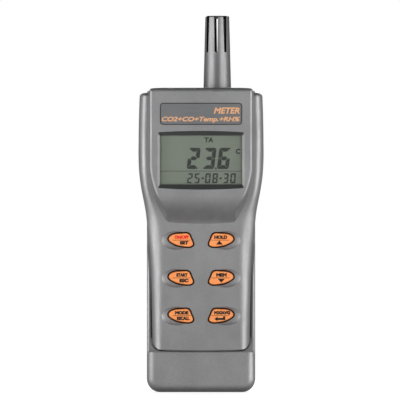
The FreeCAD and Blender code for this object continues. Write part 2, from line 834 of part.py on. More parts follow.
def rear_housing():
    outer = rear_outer()
    inner = rear_inner()
    corner_top_z = PANEL_LOW_Z + PANEL_CORNER + GROOVE
    above = inner.common(box(-40, 40, CHIN_Y - 3, SEAM_Y + 2, corner_top_z, LENGTH))
    behind = inner.common(box(-40, 40, SEAM_Y, SEAM_Y + 2, CHIN_TOP_Z, corner_top_z))
    front = join([chin(), ledge(), rim()]).cut(panel_clearance() + [chin_hollow(), above, behind])
    shell = outer.cut(inner).fuse(front)
    shell = shell.cut(door_room())
    shell = shell.fuse([tray(inner), rear_bosses(outer)])
    cuts = rear_holes() + vents()
    cuts.append(rod_z(PROBE_X, 0, 160, 170, PROBE_BASE_R + 0.15))
    cuts.append(rod_x(DATA_JACK_Y, DATA_JACK_Z, 28, 36, DATA_NOSE_R + 0.2))
    cuts.append(rod_x(POWER_JACK_Y, POWER_JACK_Z, 28, 36, POWER_NOSE_R + 0.2))
    return shell.cut(cuts)


def battery_door():
    skin = rear_outer().cut(rear_inner())
    cover = skin.common(box(-DOOR_HALF, DOOR_HALF, 5.0, 30.0, DOOR_LOW_Z, DOOR_HIGH_Z))
    tabs = []
    for x in (-TAB_X, TAB_X):
        tabs.append(box(x - 3, x + 3, 10.1, 11.1, DOOR_LOW_Z - 1.0, DOOR_LOW_Z + 2.0))
        tabs.append(box(x - 3, x + 3, 10.1, 12.3, DOOR_LOW_Z + 0.3, DOOR_LOW_Z + 2.0))
    latch = box(-5.0, 5.0, 8.4, 12.6, DOOR_HIGH_Z - 1.9, DOOR_HIGH_Z - 0.7)
    ridge = rod_x(8.9, DOOR_HIGH_Z - 0.7, -4.0, 4.0, 0.4)
    ribs = [box(x - 0.5, x + 0.5, 11.2, 12.8, 18, 72) for x in (-22.5, -16.0, 16.0, 22.5)]
    grip = [box(-8, 8, HANDLE_REAR_Y - 0.5, HANDLE_REAR_Y + 1, 70 + 2 * i, 71 + 2 * i) for i in range(4)]
    return cover.fuse(tabs + [latch, ridge] + ribs).cut(grip)


# ---------------------------------------------------------------- keys

def key_cap(side, row_z):
    cap = key_prism(side, row_z, -KEY_GAP, KEY_TOP_Y, FLANGE_FRONT_Y)
    edges = [e for e in cap.Edges if e.BoundBox.YMax < KEY_TOP_Y + 0.01]
    cap = cap.makeFillet(KEY_ROUND, edges)
    flange = key_prism(side, row_z, KEY_FLANGE_GROW, FLANGE_FRONT_Y, FLANGE_REAR_Y)
    stem = rod_y(side * KEY_X, row_z, FLANGE_REAR_Y, PILL_FRONT_Y, 2.9)
    return join([cap, flange, stem])


def key_pill(side, row_z):
    return rod_y(side * KEY_X, row_z, PILL_FRONT_Y, PILL_REAR_Y, PILL_R)


def keypad_mat():
    sheet = rounded_plate(-21.5, 21.5, 34.0, 90.5, 3.0, MAT_FRONT_Y, MAT_REAR_Y)
    feet = []
    cuts = []
    for _, side, row_z in key_places():
        feet.append(rod_y(side * KEY_X, row_z, MAT_REAR_Y, BOARD_FRONT_Y, 5.4))
        cuts.append(rod_y(side * KEY_X, row_z, MAT_FRONT_Y - 1, BOARD_FRONT_Y, 3.3))
        cuts.append(rod_y(side * KEY_X, row_z, MAT_REAR_Y, BOARD_FRONT_Y, 4.2))
    x, z, seat = LOWER_SCREW
    for sx, sz, _ in both_sides(x, z, seat):
        cuts.append(rod_y(sx, sz, MAT_FRONT_Y - 1, BOARD_FRONT_Y, BOARD_HOLE_R))
    return join([sheet] + feet).cut(cuts)


# ---------------------------------------------------------------- display

def display_window():
    """A clear pane against the inside of the front wall, a little larger than the opening."""
    over = 0.8
    low = OPENING_LOW_Z - 1.0
    high = OPENING_HIGH_Z + 1.2
    half = OPENING_HALF + over
    return rounded_plate(-half, half, low, high, over, WINDOW_FRONT_Y, WINDOW_REAR_Y)


def name_plate():
    gap = 0.15
    rear = FACE_Y + PLATE_DEPTH
    return rounded_plate(
        -PLATE_HALF + gap, PLATE_HALF - gap, PLATE_LOW_Z + gap, PLATE_HIGH_Z - gap,
        PLATE_CORNER - gap, rear - PLATE_THICK, rear
    )


def lcd_frame():
    outer = rounded_plate(-23.7, 23.7, 110.7, 142.0, 1.0, LCD_FRONT_Y - 0.1, BOARD_FRONT_Y)
    half = GLASS_HALF + 0.1
    glass_room = box(-half, half, LCD_FRONT_Y - 1, LCD_REAR_Y + 0.05, GLASS_LOW_Z - 0.1, GLASS_HIGH_Z + 0.1)
    half = LIGHT_HALF + 0.1
    through = BOARD_FRONT_Y + 1
    light_room = box(-half, half, LCD_FRONT_Y - 1, through, LIGHT_LOW_Z - 0.1, LIGHT_HIGH_Z + 0.1)
    half = ZEBRA_HALF + 0.1
    strips = [box(-half, half, LCD_FRONT_Y - 1, through, z - 1.1, z + 1.1) for z in ZEBRA_Z]
    return outer.cut([glass_room, light_room] + strips)


def lcd_glass():
    """The sealed pair of panes with the liquid crystal between them."""
    return box(-GLASS_HALF, GLASS_HALF, LCD_FRONT_Y, LCD_REAR_Y, GLASS_LOW_Z, GLASS_HIGH_Z)


def lcd_backlight():
    return box(-LIGHT_HALF, LIGHT_HALF, LCD_REAR_Y + 0.1, LIGHT_REAR_Y, LIGHT_LOW_Z, LIGHT_HIGH_Z)


def zebra_strips():
    front = LCD_REAR_Y + 0.05
    return group([box(-ZEBRA_HALF, ZEBRA_HALF, front, BOARD_FRONT_Y, z - 1.0, z + 1.0) for z in ZEBRA_Z])


# ---------------------------------------------------------------- boards

def main_board():
    low = rounded_plate(-23.6, 23.6, BOARD_LOW_Z, BOARD_STEP_Z + 6, 3.0, BOARD_FRONT_Y, BOARD_REAR_Y)
    high = rounded_plate(-30.0, 30.0, BOARD_STEP_Z, BOARD_HIGH_Z, 2.0, BOARD_FRONT_Y, BOARD_REAR_Y)
    cuts = [rod_y(x, z, BOARD_FRONT_Y - 1, BOARD_REAR_Y + 1, BOARD_SCREW_R + 0.15) for x, z in BOARD_POSTS]
    for x, z, seat in (UPPER_SCREW, LOWER_SCREW):
        for sx, sz, _ in both_sides(x, z, seat):
            cuts.append(rod_y(sx, sz, BOARD_FRONT_Y - 1, BOARD_REAR_Y + 1, BOARD_HOLE_R))
    return join([low, high]).cut(cuts)


def board_screws():
    screws = []
    for x, z in BOARD_POSTS:
        shank = rod_y(x, z, BOARD_FRONT_Y - 3.6, BOARD_REAR_Y, BOARD_SCREW_R)
        head = rod_y(x, z, BOARD_REAR_Y, BOARD_REAR_Y + 1.2, 1.8)
        slot = box(x - 1.3, x + 1.3, BOARD_REAR_Y + 0.7, BOARD_REAR_Y + 1.3, z - 0.25, z + 0.25)
        cross = box(x - 0.25, x + 0.25, BOARD_REAR_Y + 0.7, BOARD_REAR_Y + 1.3, z - 1.3, z + 1.3)
        screws.append(head.fuse(shank).cut([slot, cross]))
    return group(screws)


def microcontroller():
    """A square chip with a row of leads on each side, on the back of the main board."""
    z = 60.0
    half = 6.0
    reach = half + 1.2
    lead_y = BOARD_REAR_Y + 0.4
    lead_half = 0.25
    lead_pitch = 1.3
    shapes = [box(-half, half, BOARD_REAR_Y + 0.1, BOARD_REAR_Y + 1.5, z - half, z + half)]
    for i in range(-4, 5):
        s = i * lead_pitch
        shapes.append(box(s - lead_half, s + lead_half, BOARD_REAR_Y, lead_y, z - reach, z + reach))
        shapes.append(box(-reach, reach, BOARD_REAR_Y, lead_y, z + s - lead_half, z + s + lead_half))
    return join(shapes)


def housing_screws():
    screws = []
    for x, z, seat in (UPPER_SCREW, LOWER_SCREW):
        for sx, sz, seat_y in both_sides(x, z, seat):
            head = rod_y(sx, sz, seat_y, seat_y + SCREW_HEAD_H, SCREW_HEAD_R)
            shank = rod_y(sx, sz, SCREW_TIP_Y, seat_y, SCREW_R)
            top = seat_y + SCREW_HEAD_H
            slot = box(sx - 1.8, sx + 1.8, top - 1.0, top + 1, sz - 0.35, sz + 0.35)
            cross = box(sx - 0.35, sx + 0.35, top - 1.0, top + 1, sz - 1.8, sz + 1.8)
            screws.append(head.fuse(shank).cut([slot, cross]))
    return group(screws)


def sensor_board():
    return rounded_plate(
        -SENSOR_HALF, SENSOR_HALF, SENSOR_LOW_Z, SENSOR_HIGH_Z, 1.5, SENSOR_FRONT_Y, SENSOR_REAR_Y
    )


def board_standoffs():
    posts = []
    for x in (-18.0, 18.0):
        for z in (106.5, 144.5):
            posts.append(rod_y(x, z, BOARD_REAR_Y, SENSOR_FRONT_Y, 1.6))
    return group(posts)


def board_header():
    """The pin strip that joins the sensor board to the main board."""
    shapes = [box(-10.2, 10.2, -7.0, SENSOR_FRONT_Y, 107.0, 109.5)]
    shapes.append(box(-10.2, 10.2, BOARD_REAR_Y, -7.0, 106.6, 109.9))
    return join(shapes)


def co2_chamber():
    """The optical bench of the carbon dioxide sensor: a folded light path under a metal cover."""
    low, high = CHAMBER_Z
    cover = rounded_plate(-CHAMBER_HALF, CHAMBER_HALF, low, high, 3.0, SENSOR_REAR_Y, CHAMBER_TOP_Y)
    edges = [e for e in cover.Edges if e.BoundBox.YMin > CHAMBER_TOP_Y - 0.1]
    cover = cover.makeFillet(1.5, edges)
    lamp_y = (SENSOR_REAR_Y + CHAMBER_TOP_Y) / 2
    lamp = rod_x(lamp_y, (low + high) / 2, -CHAMBER_HALF - 2, -CHAMBER_HALF + 0.5, 2.6)
    window = box(-MEMBRANE_HALF, MEMBRANE_HALF, CHAMBER_TOP_Y - 1, CHAMBER_TOP_Y + 1, *MEMBRANE_Z)
    return join([cover, lamp]).cut(window)


def co2_window():
    """The white dust membrane in the cover's opening."""
    low, high = MEMBRANE_Z
    half = MEMBRANE_HALF - 0.1
    return box(-half, half, CHAMBER_TOP_Y - 1, CHAMBER_TOP_Y - 0.3, low + 0.1, high - 0.1)


def co_sensor():
    can = rod_y(CO_X, CO_Z, SENSOR_REAR_Y + 2.0, CO_TOP_Y, CO_R)
    edges = [e for e in can.Edges if e.BoundBox.YMin > CO_TOP_Y - 0.1]
    can = can.makeFillet(0.8, edges)
    return can.cut(rod_y(CO_X, CO_Z, CO_TOP_Y - 1.0, CO_TOP_Y + 1, 1.6))


def co_sensor_pins():
    pins = []
    for turn in (90, 210, 330):
        x = CO_X + CO_PIN_CIRCLE_R * math.cos(math.radians(turn))
        z = CO_Z + CO_PIN_CIRCLE_R * math.sin(math.radians(turn))
        pins.append(rod_y(x, z, SENSOR_REAR_Y, SENSOR_REAR_Y + 2.0, 0.75))
    return group(pins)


def buzzer():
    can = rod_y(BUZZER_X, BUZZER_Z, SENSOR_REAR_Y, BUZZER_TOP_Y, 6.0)
    edges = [e for e in can.Edges if e.BoundBox.YMin > BUZZER_TOP_Y - 0.1]
    can = can.makeFillet(0.5, edges)
    return can.cut(rod_y(BUZZER_X, BUZZER_Z, BUZZER_TOP_Y - 2.0, BUZZER_TOP_Y + 1, 1.0))


def dust_filter():
    """A thin sheet of filter felt against the inside of the vents."""
    sheet = rear_form(WALL + 0.05).cut(rear_form(WALL + 0.65))
    return sheet.common(box(-19.0, 19.0, 15.0, 30.0, 109.0, 141.5))


# ---------------------------------------------------------------- probe

def probe_slot(turn):
    """One slot of the guard: narrow and rounded at its foot, wider at its top."""
    top = LENGTH + 1
    low = SLOT_LOW_Z + SLOT_LOW_W / 2
    outline = Part.Wire([
        line(V(-SLOT_LOW_W / 2, 0, low), V(-SLOT_HIGH_W / 2, 0, top)),
        line(V(-SLOT_HIGH_W / 2, 0, top), V(SLOT_HIGH_W / 2, 0, top)),
        line(V(SLOT_HIGH_W / 2, 0, top), V(SLOT_LOW_W / 2, 0, low)),
        arc(V(SLOT_LOW_W / 2, 0, low), V(0, 0, SLOT_LOW_Z), V(-SLOT_LOW_W / 2, 0, low)),
    ])
    blade = Part.Face(outline)
    blade.translate(V(0, -PROBE_BASE_R - 1, 0))
    blade = blade.extrude(V(0, PROBE_BASE_R + 1 - 3.6, 0))
    blade.rotate(V(0, 0, 0), V(0, 0, 1), turn)
    return blade


def probe_guard():
    low = PROBE_FLANGE_Z
    rate = (PROBE_BASE_R - PROBE_TOP_R) / (LENGTH - BAND_TOP_Z)
    low_r = PROBE_BASE_R
    outer = Part.makeCone(low_r, PROBE_TOP_R, LENGTH - BAND_TOP_Z, V(0, 0, BAND_TOP_Z))
    edges = [e for e in outer.Edges if e.BoundBox.ZMin > LENGTH - 0.01]
    outer = outer.makeFillet(0.9, edges)
    neck = rod_z(0, 0, low, BAND_TOP_Z, low_r)
    flange = rod_z(0, 0, low, low + PROBE_FLANGE_H, PROBE_FLANGE_R)
    shell = join([outer, neck, flange])
    inside = LENGTH - BAND_TOP_Z - 1.6
    bore_r = low_r - PROBE_WALL
    bore = rod_z(0, 0, low - 1, BAND_TOP_Z, bore_r)
    taper = Part.makeCone(bore_r, bore_r - rate * inside, inside, V(0, 0, BAND_TOP_Z))
    slots = [probe_slot(SLOT_TURN + i * 360.0 / SLOT_COUNT) for i in range(SLOT_COUNT)]
    shell = shell.cut([bore, taper] + slots)
    shell.translate(V(PROBE_X, 0, 0))
    return shell


def probe_seal():
    low = PROBE_FLANGE_Z + PROBE_FLANGE_H
    ring = rod_z(PROBE_X, 0, low + 0.02, low + 2.5, PROBE_FLANGE_R - 0.3)
    return ring.cut(rod_z(PROBE_X, 0, low - 1, low + 4, PROBE_BASE_R + 0.05))


def probe_board():
    """A slim board standing edge-on behind the slots, left of the tube's middle."""
    stick = box(PROBE_X - 3.1, PROBE_X - 2.3, -3.4, 3.4, 164.0, 199.5)
    foot = box(PROBE_X - 3.1, PROBE_X - 2.3, -4.4, 1.2, 141.5, 164.0)
    return join([stick, foot])


def humidity_sensor():
    return box(PROBE_X - 4.3, PROBE_X - 3.12, -1.6, 1.6, 190.0, 193.6)


def temperature_bead():
    bead = Part.makeSphere(0.9, V(PROBE_X - 4.0, 0, 197.3))
    return bead.common(box(0, PROBE_X - 3.12, -3, 3, 190, 200))


def probe_plug():
    """The socket on the sensor board that takes the foot of the probe board."""
    block = box(PROBE_X - 5.0, PROBE_X - 0.4, -5.4, SENSOR_FRONT_Y, 139.8, 146.3)
    return block.cut(box(PROBE_X - 3.15, PROBE_X - 2.25, -4.5, 1.3, 141.45, 147.0))


# ---------------------------------------------------------------- sockets

def data_jack():
    body = box(19.5, 28.6, BOARD_REAR_Y, DATA_JACK_Y + 3.2, DATA_JACK_Z - 4.0, DATA_JACK_Z + 4.0)
    nose = rod_x(DATA_JACK_Y, DATA_JACK_Z, 28.0, DATA_JACK_X, DATA_NOSE_R)
    bore = rod_x(DATA_JACK_Y, DATA_JACK_Z, DATA_JACK_X - 11.0, DATA_JACK_X + 1, DATA_BORE_R)
    return join([body, nose]).cut(bore)


def power_jack():
    body = box(20.0, 30.6, BOARD_REAR_Y, POWER_JACK_Y + 4.3, POWER_JACK_Z - 4.6, POWER_JACK_Z + 4.6)
    nose = rod_x(POWER_JACK_Y, POWER_JACK_Z, 30.0, POWER_JACK_X, POWER_NOSE_R)
    hole = rod_x(POWER_JACK_Y, POWER_JACK_Z, POWER_JACK_X - 9.5, POWER_JACK_X + 1, POWER_BORE_R)
    pin = rod_x(POWER_JACK_Y, POWER_JACK_Z, POWER_JACK_X - 10.0, POWER_JACK_X - 1.0, POWER_PIN_R)
    return join([join([body, nose]).cut(hole), pin])


# ---------------------------------------------------------------- cells

def cell_direction(index):
    return 1 if index % 2 == 0 else -1


def cell_z(index):
    return CELL_LOW_Z + index * CELL_PITCH


def cell(index):
    """A cylindrical cell lying across the handle, its nub towards one side."""
    way = cell_direction(index)
    z = cell_z(index)
    half = CELL_LENGTH / 2
    body = rod_x(CELL_Y, z, -half, half - CELL_NUB_H, CELL_R)
    edges = [e for e in body.Edges if e.BoundBox.XLength < 0.01]
    body = body.makeFillet(0.6, edges)
    nub = rod_x(CELL_Y, z, half - CELL_NUB_H - 0.1, half, CELL_NUB_R)
    shape = join([body, nub])
    if way < 0:
        shape.rotate(V(0, CELL_Y, z), V(0, 0, 1), 180)
    return shape


def battery_contacts():
    """A nickel plate behind each end of each cell, in a slot of the compartment's side wall."""
    plates = []
    for index in range(CELL_COUNT):
        z = cell_z(index)
        for side in (-1, 1):
            x = side * (CELL_LENGTH / 2 + 1.75)
            plates.append(box(x - 0.2, x + 0.2, CELL_Y - 5, CELL_Y + 4.5, z - 5, z + 5))
    return group(plates)


def battery_springs():
    """A conical coil at the flat end of each cell, widest against its contact plate."""
    springs = []
    wire_r = 0.22
    start_r = 2.4
    for index in range(CELL_COUNT):
        helix = Part.makeHelix(0.5, 1.0, start_r, 50.0)
        circle = Part.Wire([Part.makeCircle(wire_r, V(start_r, 0, 0), V(0, 1, 0))])
        coil = Part.Wire(helix).makePipeShell([circle], True, True)
        coil.rotate(V(0, 0, 0), V(0, 1, 0), 90)
        coil.translate(V(CELL_LENGTH / 2 + 0.27, 0, 0))
        if cell_direction(index) > 0:
            coil.rotate(V(0, 0, 0), V(0, 0, 1), 180)
        coil.translate(V(0, CELL_Y, cell_z(index)))
        springs.append(coil)
    return group(springs)


def door_foam():
    """The strip of foam on the inside of the door that keeps the cells still."""
    return rear_form(WALL + 0.02).common(box(-7.0, 7.0, CELL_Y + CELL_R + 0.1, 14.0, 20.0, 70.0))


def build():
    save("front_housing", front_housing())
    save("rear_housing", rear_housing())
    save("battery_door", battery_door())
    save("door_foam", door_foam())
    save("display_window", display_window())
    save("name_plate", name_plate())
    save("lcd_frame", lcd_frame())
    save("lcd_glass", lcd_glass())
    save("lcd_backlight", lcd_backlight())
    save("zebra_strips", zebra_strips())
    save("keypad_mat", keypad_mat())
    for name, side, row_z in key_places():
        save("key_" + name, key_cap(side, row_z))
        save("pill_" + name, key_pill(side, row_z))
    save("main_board", main_board())
    save("microcontroller", microcontroller())
    save("board_screws", board_screws())
    save("housing_screws", housing_screws())
    save("sensor_board", sensor_board())
    save("board_standoffs", board_standoffs())
    save("board_header", board_header())
    save("co2_chamber", co2_chamber())
    save("co2_window", co2_window())
    save("co_sensor", co_sensor())
    save("co_sensor_pins", co_sensor_pins())
    save("buzzer", buzzer())
    save("dust_filter", dust_filter())
    save("probe_guard", probe_guard())
    save("probe_seal", probe_seal())
    save("probe_board", probe_board())
    save("humidity_sensor", humidity_sensor())
    save("temperature_bead", temperature_bead())
    save("probe_plug", probe_plug())
    save("data_jack", data_jack())
    save("power_jack", power_jack())
    for index in range(CELL_COUNT):
        save("battery_" + str(index + 1), cell(index))
    save("battery_contacts", battery_contacts())
    save("battery_springs", battery_springs())


os.makedirs("parts", exist_ok=True)
build()
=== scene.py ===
import bmesh
import bpy
import json
import math
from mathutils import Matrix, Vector
from mathutils.bvhtree import BVHTree


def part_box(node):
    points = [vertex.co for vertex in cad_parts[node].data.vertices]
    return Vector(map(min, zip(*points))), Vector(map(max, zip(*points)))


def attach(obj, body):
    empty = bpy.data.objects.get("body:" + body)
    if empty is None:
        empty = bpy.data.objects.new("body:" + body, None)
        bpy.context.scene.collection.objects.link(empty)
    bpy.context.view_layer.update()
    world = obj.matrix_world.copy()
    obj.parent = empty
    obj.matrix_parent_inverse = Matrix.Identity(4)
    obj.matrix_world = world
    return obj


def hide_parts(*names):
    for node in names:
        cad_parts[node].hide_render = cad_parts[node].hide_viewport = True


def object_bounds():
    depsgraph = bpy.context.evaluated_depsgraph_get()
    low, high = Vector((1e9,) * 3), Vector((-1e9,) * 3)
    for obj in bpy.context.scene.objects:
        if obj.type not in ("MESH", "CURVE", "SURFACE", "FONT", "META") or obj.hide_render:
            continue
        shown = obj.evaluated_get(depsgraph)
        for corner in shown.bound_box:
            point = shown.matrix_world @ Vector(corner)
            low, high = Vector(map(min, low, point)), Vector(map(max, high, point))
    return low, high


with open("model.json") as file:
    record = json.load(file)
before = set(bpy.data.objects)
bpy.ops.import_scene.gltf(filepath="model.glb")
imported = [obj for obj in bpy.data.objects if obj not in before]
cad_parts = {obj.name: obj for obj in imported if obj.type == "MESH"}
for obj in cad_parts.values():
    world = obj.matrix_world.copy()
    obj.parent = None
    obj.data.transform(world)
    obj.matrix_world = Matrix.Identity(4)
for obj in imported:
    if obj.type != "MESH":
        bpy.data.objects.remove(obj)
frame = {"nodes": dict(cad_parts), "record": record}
cad_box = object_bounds()
scene = bpy.context.scene

MM = 0.001

# The camera looks level at this height and offset, over a frame of this height.
CENTRE_Z = 104.55 * MM
CENTRE_X = -0.57 * MM
VIEW_HEIGHT = 217.2 * MM
CAMERA_DISTANCE = 6.0
SENSOR = 36.0

# Thickness of a printed layer, and how far display digits lean to the right.
PRINT = 0.03 * MM
DIGIT_LEAN = math.tan(math.radians(7.0))


# ---------------------------------------------------------------- node helpers

# A mask goes from 0 to 1 over this distance.
MASK_EDGE = 0.05 * MM


def new_material(name):
    material = bpy.data.materials.new(name)
    material.use_nodes = True
    return material, material.node_tree, material.node_tree.nodes["Principled BSDF"]


def add(tree, kind, **inputs):
    node = tree.nodes.new("ShaderNode" + kind)
    for key, value in inputs.items():
        node.inputs[key.replace("_", " ")].default_value = value
    return node


def coordinates(tree, scale=(1.0, 1.0, 1.0), turn=(0.0, 0.0, 0.0)):
    """Object coordinates in metres, stretched or turned."""
    place = add(tree, "TexCoord")
    mapping = add(tree, "Mapping", Scale=scale, Rotation=turn)
    tree.links.new(place.outputs["Object"], mapping.inputs["Vector"])
    return mapping.outputs["Vector"]


def noise(tree, scale, detail=2.0, stretch=(1.0, 1.0, 1.0)):
    node = add(tree, "TexNoise", Scale=scale, Detail=detail, Roughness=0.55)
    tree.links.new(coordinates(tree, stretch), node.inputs["Vector"])
    return node.outputs["Fac"]


def cells(tree, scale):
    node = add(tree, "TexVoronoi", Scale=scale)
    tree.links.new(coordinates(tree), node.inputs["Vector"])
    return node.outputs["Distance"]


def bands(tree, scale):
    """Even bands side by side along X."""
    node = add(tree, "TexWave", Scale=scale, Distortion=0.0)
    node.bands_direction = "X"
    tree.links.new(coordinates(tree), node.inputs["Vector"])
    return node.outputs["Fac"]


def remap(tree, socket, low, high, new_low, new_high):
    node = add(tree, "MapRange", From_Min=low, From_Max=high, To_Min=new_low, To_Max=new_high)
    tree.links.new(socket, node.inputs["Value"])
    return node.outputs["Result"]


def product(tree, first, second):
    node = add(tree, "Math")
    node.operation = "MULTIPLY"
    tree.links.new(first, node.inputs[0])
    tree.links.new(second, node.inputs[1])
    return node.outputs[0]


def within(tree, socket, low, high):
    """1 where a coordinate lies between two values, else 0."""
    above = remap(tree, socket, low, low + MASK_EDGE, 0.0, 1.0)
    below = remap(tree, socket, high - MASK_EDGE, high, 1.0, 0.0)
    return product(tree, above, below)


def parts_of(tree, output):
    """The X, Y and Z of one of an object's own coordinates, such as its place or its normal."""
    place = add(tree, "TexCoord")
    split = add(tree, "SeparateXYZ")
    tree.links.new(place.outputs[output], split.inputs["Vector"])
    return split.outputs


def ramp(tree, socket, stops):
    """Colours along a value: stops are (position, (r, g, b))."""
    node = add(tree, "ValToRGB")
    elements = node.color_ramp.elements
    while len(elements) < len(stops):
        elements.new(0.5)
    for element, (position, colour) in zip(elements, stops):
        element.position = position
        element.color = (*colour, 1.0)
    tree.links.new(socket, node.inputs["Fac"])
    return node.outputs["Color"]


def mixed(tree, factor, first, second):
    node = tree.nodes.new("ShaderNodeMix")
    node.data_type = "RGBA"
    tree.links.new(factor, node.inputs["Factor"])
    for socket, value in ((node.inputs["A"], first), (node.inputs["B"], second)):
        if isinstance(value, tuple):
            socket.default_value = (*value, 1.0)
        else:
            tree.links.new(value, socket)
    return node.outputs["Result"]


def bumped(tree, shader, layers):
    """Height layers as (socket, depth in metres), the deepest first."""
    normal = None
    for socket, depth in layers:
        node = add(tree, "Bump", Strength=1.0, Distance=depth)
        tree.links.new(socket, node.inputs["Height"])
        if normal is not None:
            tree.links.new(normal, node.inputs["Normal"])
        normal = node.outputs["Normal"]
    tree.links.new(normal, shader.inputs["Normal"])


def shade(tree, shader, colour, roughness, **constants):
    """Links a colour and a roughness, and sets what is the same all over on the shader's own sockets."""
    tree.links.new(colour, shader.inputs["Base Color"])
    tree.links.new(roughness, shader.inputs["Roughness"])
    for key, value in constants.items():
        shader.inputs[key.replace("_", " ")].default_value = value


# ---------------------------------------------------------------- materials

# How far the painted shade on the lips reaches beyond the display window, at its sides and above and below
# it.
LIP_SIDE = 2.0 * MM
LIP_REACH = 2.4 * MM

# The probe's faces get painted shade below the first distance from its axis and keep their grey paint beyond
# the second.
PROBE_SHADE_REACH = (3.2 * MM, 4.2 * MM)

# Painted shade on the sloping lips of the display window.
LIP_SHADE_GREY = (0.15, 0.15, 0.152)
# Painted shade in the probe's slots and bore.
PROBE_SLOT_SHADE = (0.012, 0.012, 0.013)
HOUSING_GREYS = ((0.30, 0.30, 0.305), (0.42, 0.42, 0.425))
PROBE_GREYS = ((0.20, 0.20, 0.204), (0.285, 0.285, 0.289))


def window_lip_shade(tree):
    """1 on the sloping lips above and below the display opening, where shade is painted into the colour."""
    low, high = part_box("display_window")
    spot = parts_of(tree, "Object")
    facing = parts_of(tree, "Normal")
    steep = product(tree, facing["Z"], facing["Z"])
    sloping = remap(tree, steep, 0.10, 0.20, 0.0, 1.0)
    across = within(tree, spot["X"], low.x - LIP_SIDE, high.x + LIP_SIDE)
    around = within(tree, spot["Z"], low.z - LIP_REACH, high.z + LIP_REACH)
    return product(tree, product(tree, across, around), sloping)


def probe_slot_shade(tree):
    """1 on the walls of the probe's slots and bore, where near-black shade is painted into the colour."""
    low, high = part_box("probe_guard")
    place = add(tree, "TexCoord")
    from_axis = add(tree, "VectorMath")
    from_axis.operation = "SUBTRACT"
    tree.links.new(place.outputs["Object"], from_axis.inputs[0])
    from_axis.inputs[1].default_value = ((low.x + high.x) / 2, (low.y + high.y) / 2, 0.0)
    outward = add(tree, "VectorMath")
    outward.operation = "DOT_PRODUCT"
    tree.links.new(from_axis.outputs["Vector"], outward.inputs[0])
    flat = add(tree, "Mapping", Scale=(1.0, 1.0, 0.0))
    tree.links.new(place.outputs["Normal"], flat.inputs["Vector"])
    tree.links.new(flat.outputs["Vector"], outward.inputs[1])
    return remap(tree, outward.outputs["Value"], *PROBE_SHADE_REACH, 1.0, 0.0)


def satin_paint(name, dark, light, low, high, metallic, mask=None, shade_tone=LIP_SHADE_GREY):
    """Metallic grey paint over plastic: fine flake, a slow drift of tone, orange peel and faint scuffs, and
    painted shade where a mask is given.
    """
    material, tree, shader = new_material(name)
    flake = noise(tree, 5200.0, 1.0)
    drift = noise(tree, 45.0, 3.0)
    scuff = noise(tree, 300.0, 4.0, (1.0, 1.0, 0.18))
    flecks = remap(tree, flake, 0.35, 0.68, 0.0, 1.0)
    tone = mixed(tree, flecks, dark, light)
    shaded = ramp(tree, drift, ((0.3, (0.46, 0.46, 0.46)), (0.7, (0.54, 0.54, 0.54))))
    overlay = tree.nodes.new("ShaderNodeMix")
    overlay.data_type = "RGBA"
    overlay.blend_type = "OVERLAY"
    overlay.inputs["Factor"].default_value = 1.0
    tree.links.new(tone, overlay.inputs["A"])
    tree.links.new(shaded, overlay.inputs["B"])
    roughness = remap(tree, scuff, 0.35, 0.75, low, high)
    colour = overlay.outputs["Result"]
    # Painted shade: where the mask is 1, the colour gives way to a dark shade tone.
    if mask:
        colour = mixed(tree, mask(tree), colour, shade_tone)
    shade(tree, shader, colour, roughness, Metallic=metallic)
    peel = noise(tree, 900.0, 2.0)
    bumped(tree, shader, ((peel, 0.012 * MM), (flake, 0.008 * MM)))
    return material


def plain_plastic(name, dark, light, low, high, grain=1800.0):
    """Moulded plastic with a fine spark-eroded grain and slight mottling."""
    material, tree, shader = new_material(name)
    mottle = noise(tree, 160.0, 3.0)
    texture = noise(tree, grain, 3.0)
    colour = mixed(tree, remap(tree, mottle, 0.3, 0.7, 0.0, 1.0), dark, light)
    roughness = remap(tree, texture, 0.3, 0.7, low, high)
    shade(tree, shader, colour, roughness)
    bumped(tree, shader, ((texture, 0.01 * MM),))
    return material


def brushed_metal(name, dark, light, low, high, stretch):
    """Metal with a fine grain, drawn out into lines along any axis whose share in stretch is small."""
    material, tree, shader = new_material(name)
    lines = noise(tree, 2500.0, 3.0, stretch)
    stain = noise(tree, 220.0, 3.0)
    colour = mixed(tree, remap(tree, stain, 0.35, 0.7, 0.0, 1.0), dark, light)
    roughness = remap(tree, lines, 0.3, 0.7, low, high)
    shade(tree, shader, colour, roughness, Metallic=1.0)
    bumped(tree, shader, ((lines, 0.006 * MM),))
    return material


def silicone(name, deep, pale, low, high, painted_glow=0.0):
    """Translucent silicone rubber: a soft mottled colour under a finely matt skin, with a painted glow of
    its pale colour.
    """
    material, tree, shader = new_material(name)
    cloud = noise(tree, 500.0, 3.0)
    skin = noise(tree, 5200.0, 2.0)
    colour = mixed(tree, remap(tree, cloud, 0.3, 0.7, 0.0, 1.0), deep, pale)
    roughness = remap(tree, skin, 0.3, 0.7, low, high)
    shade(tree, shader, colour, roughness, Subsurface_Weight=0.15, Subsurface_Scale=0.4 * MM)
    # Painted light: the pale colour glows, which brightens the rubber though it is no lamp.
    shader.inputs["Emission Color"].default_value = (*pale, 1.0)
    shader.inputs["Emission Strength"].default_value = painted_glow
    bumped(tree, shader, ((skin, 0.006 * MM),))
    return material


def lcd_film(name):
    """The reflective film behind the liquid crystal: grey-green, with a fine pearly grain."""
    material, tree, shader = new_material(name)
    pearl = noise(tree, 7000.0, 2.0)
    cloud = noise(tree, 70.0, 2.0)
    tint = mixed(tree, remap(tree, cloud, 0.3, 0.7, 0.0, 1.0), (0.122, 0.143, 0.114), (0.135, 0.156, 0.125))
    colour = mixed(tree, remap(tree, pearl, 0.3, 0.7, 0.0, 0.35), tint, (0.16, 0.183, 0.148))
    shade(tree, shader, colour, remap(tree, pearl, 0.3, 0.7, 0.42, 0.55), Metallic=0.1)
    bumped(tree, shader, ((pearl, 0.003 * MM),))
    return material


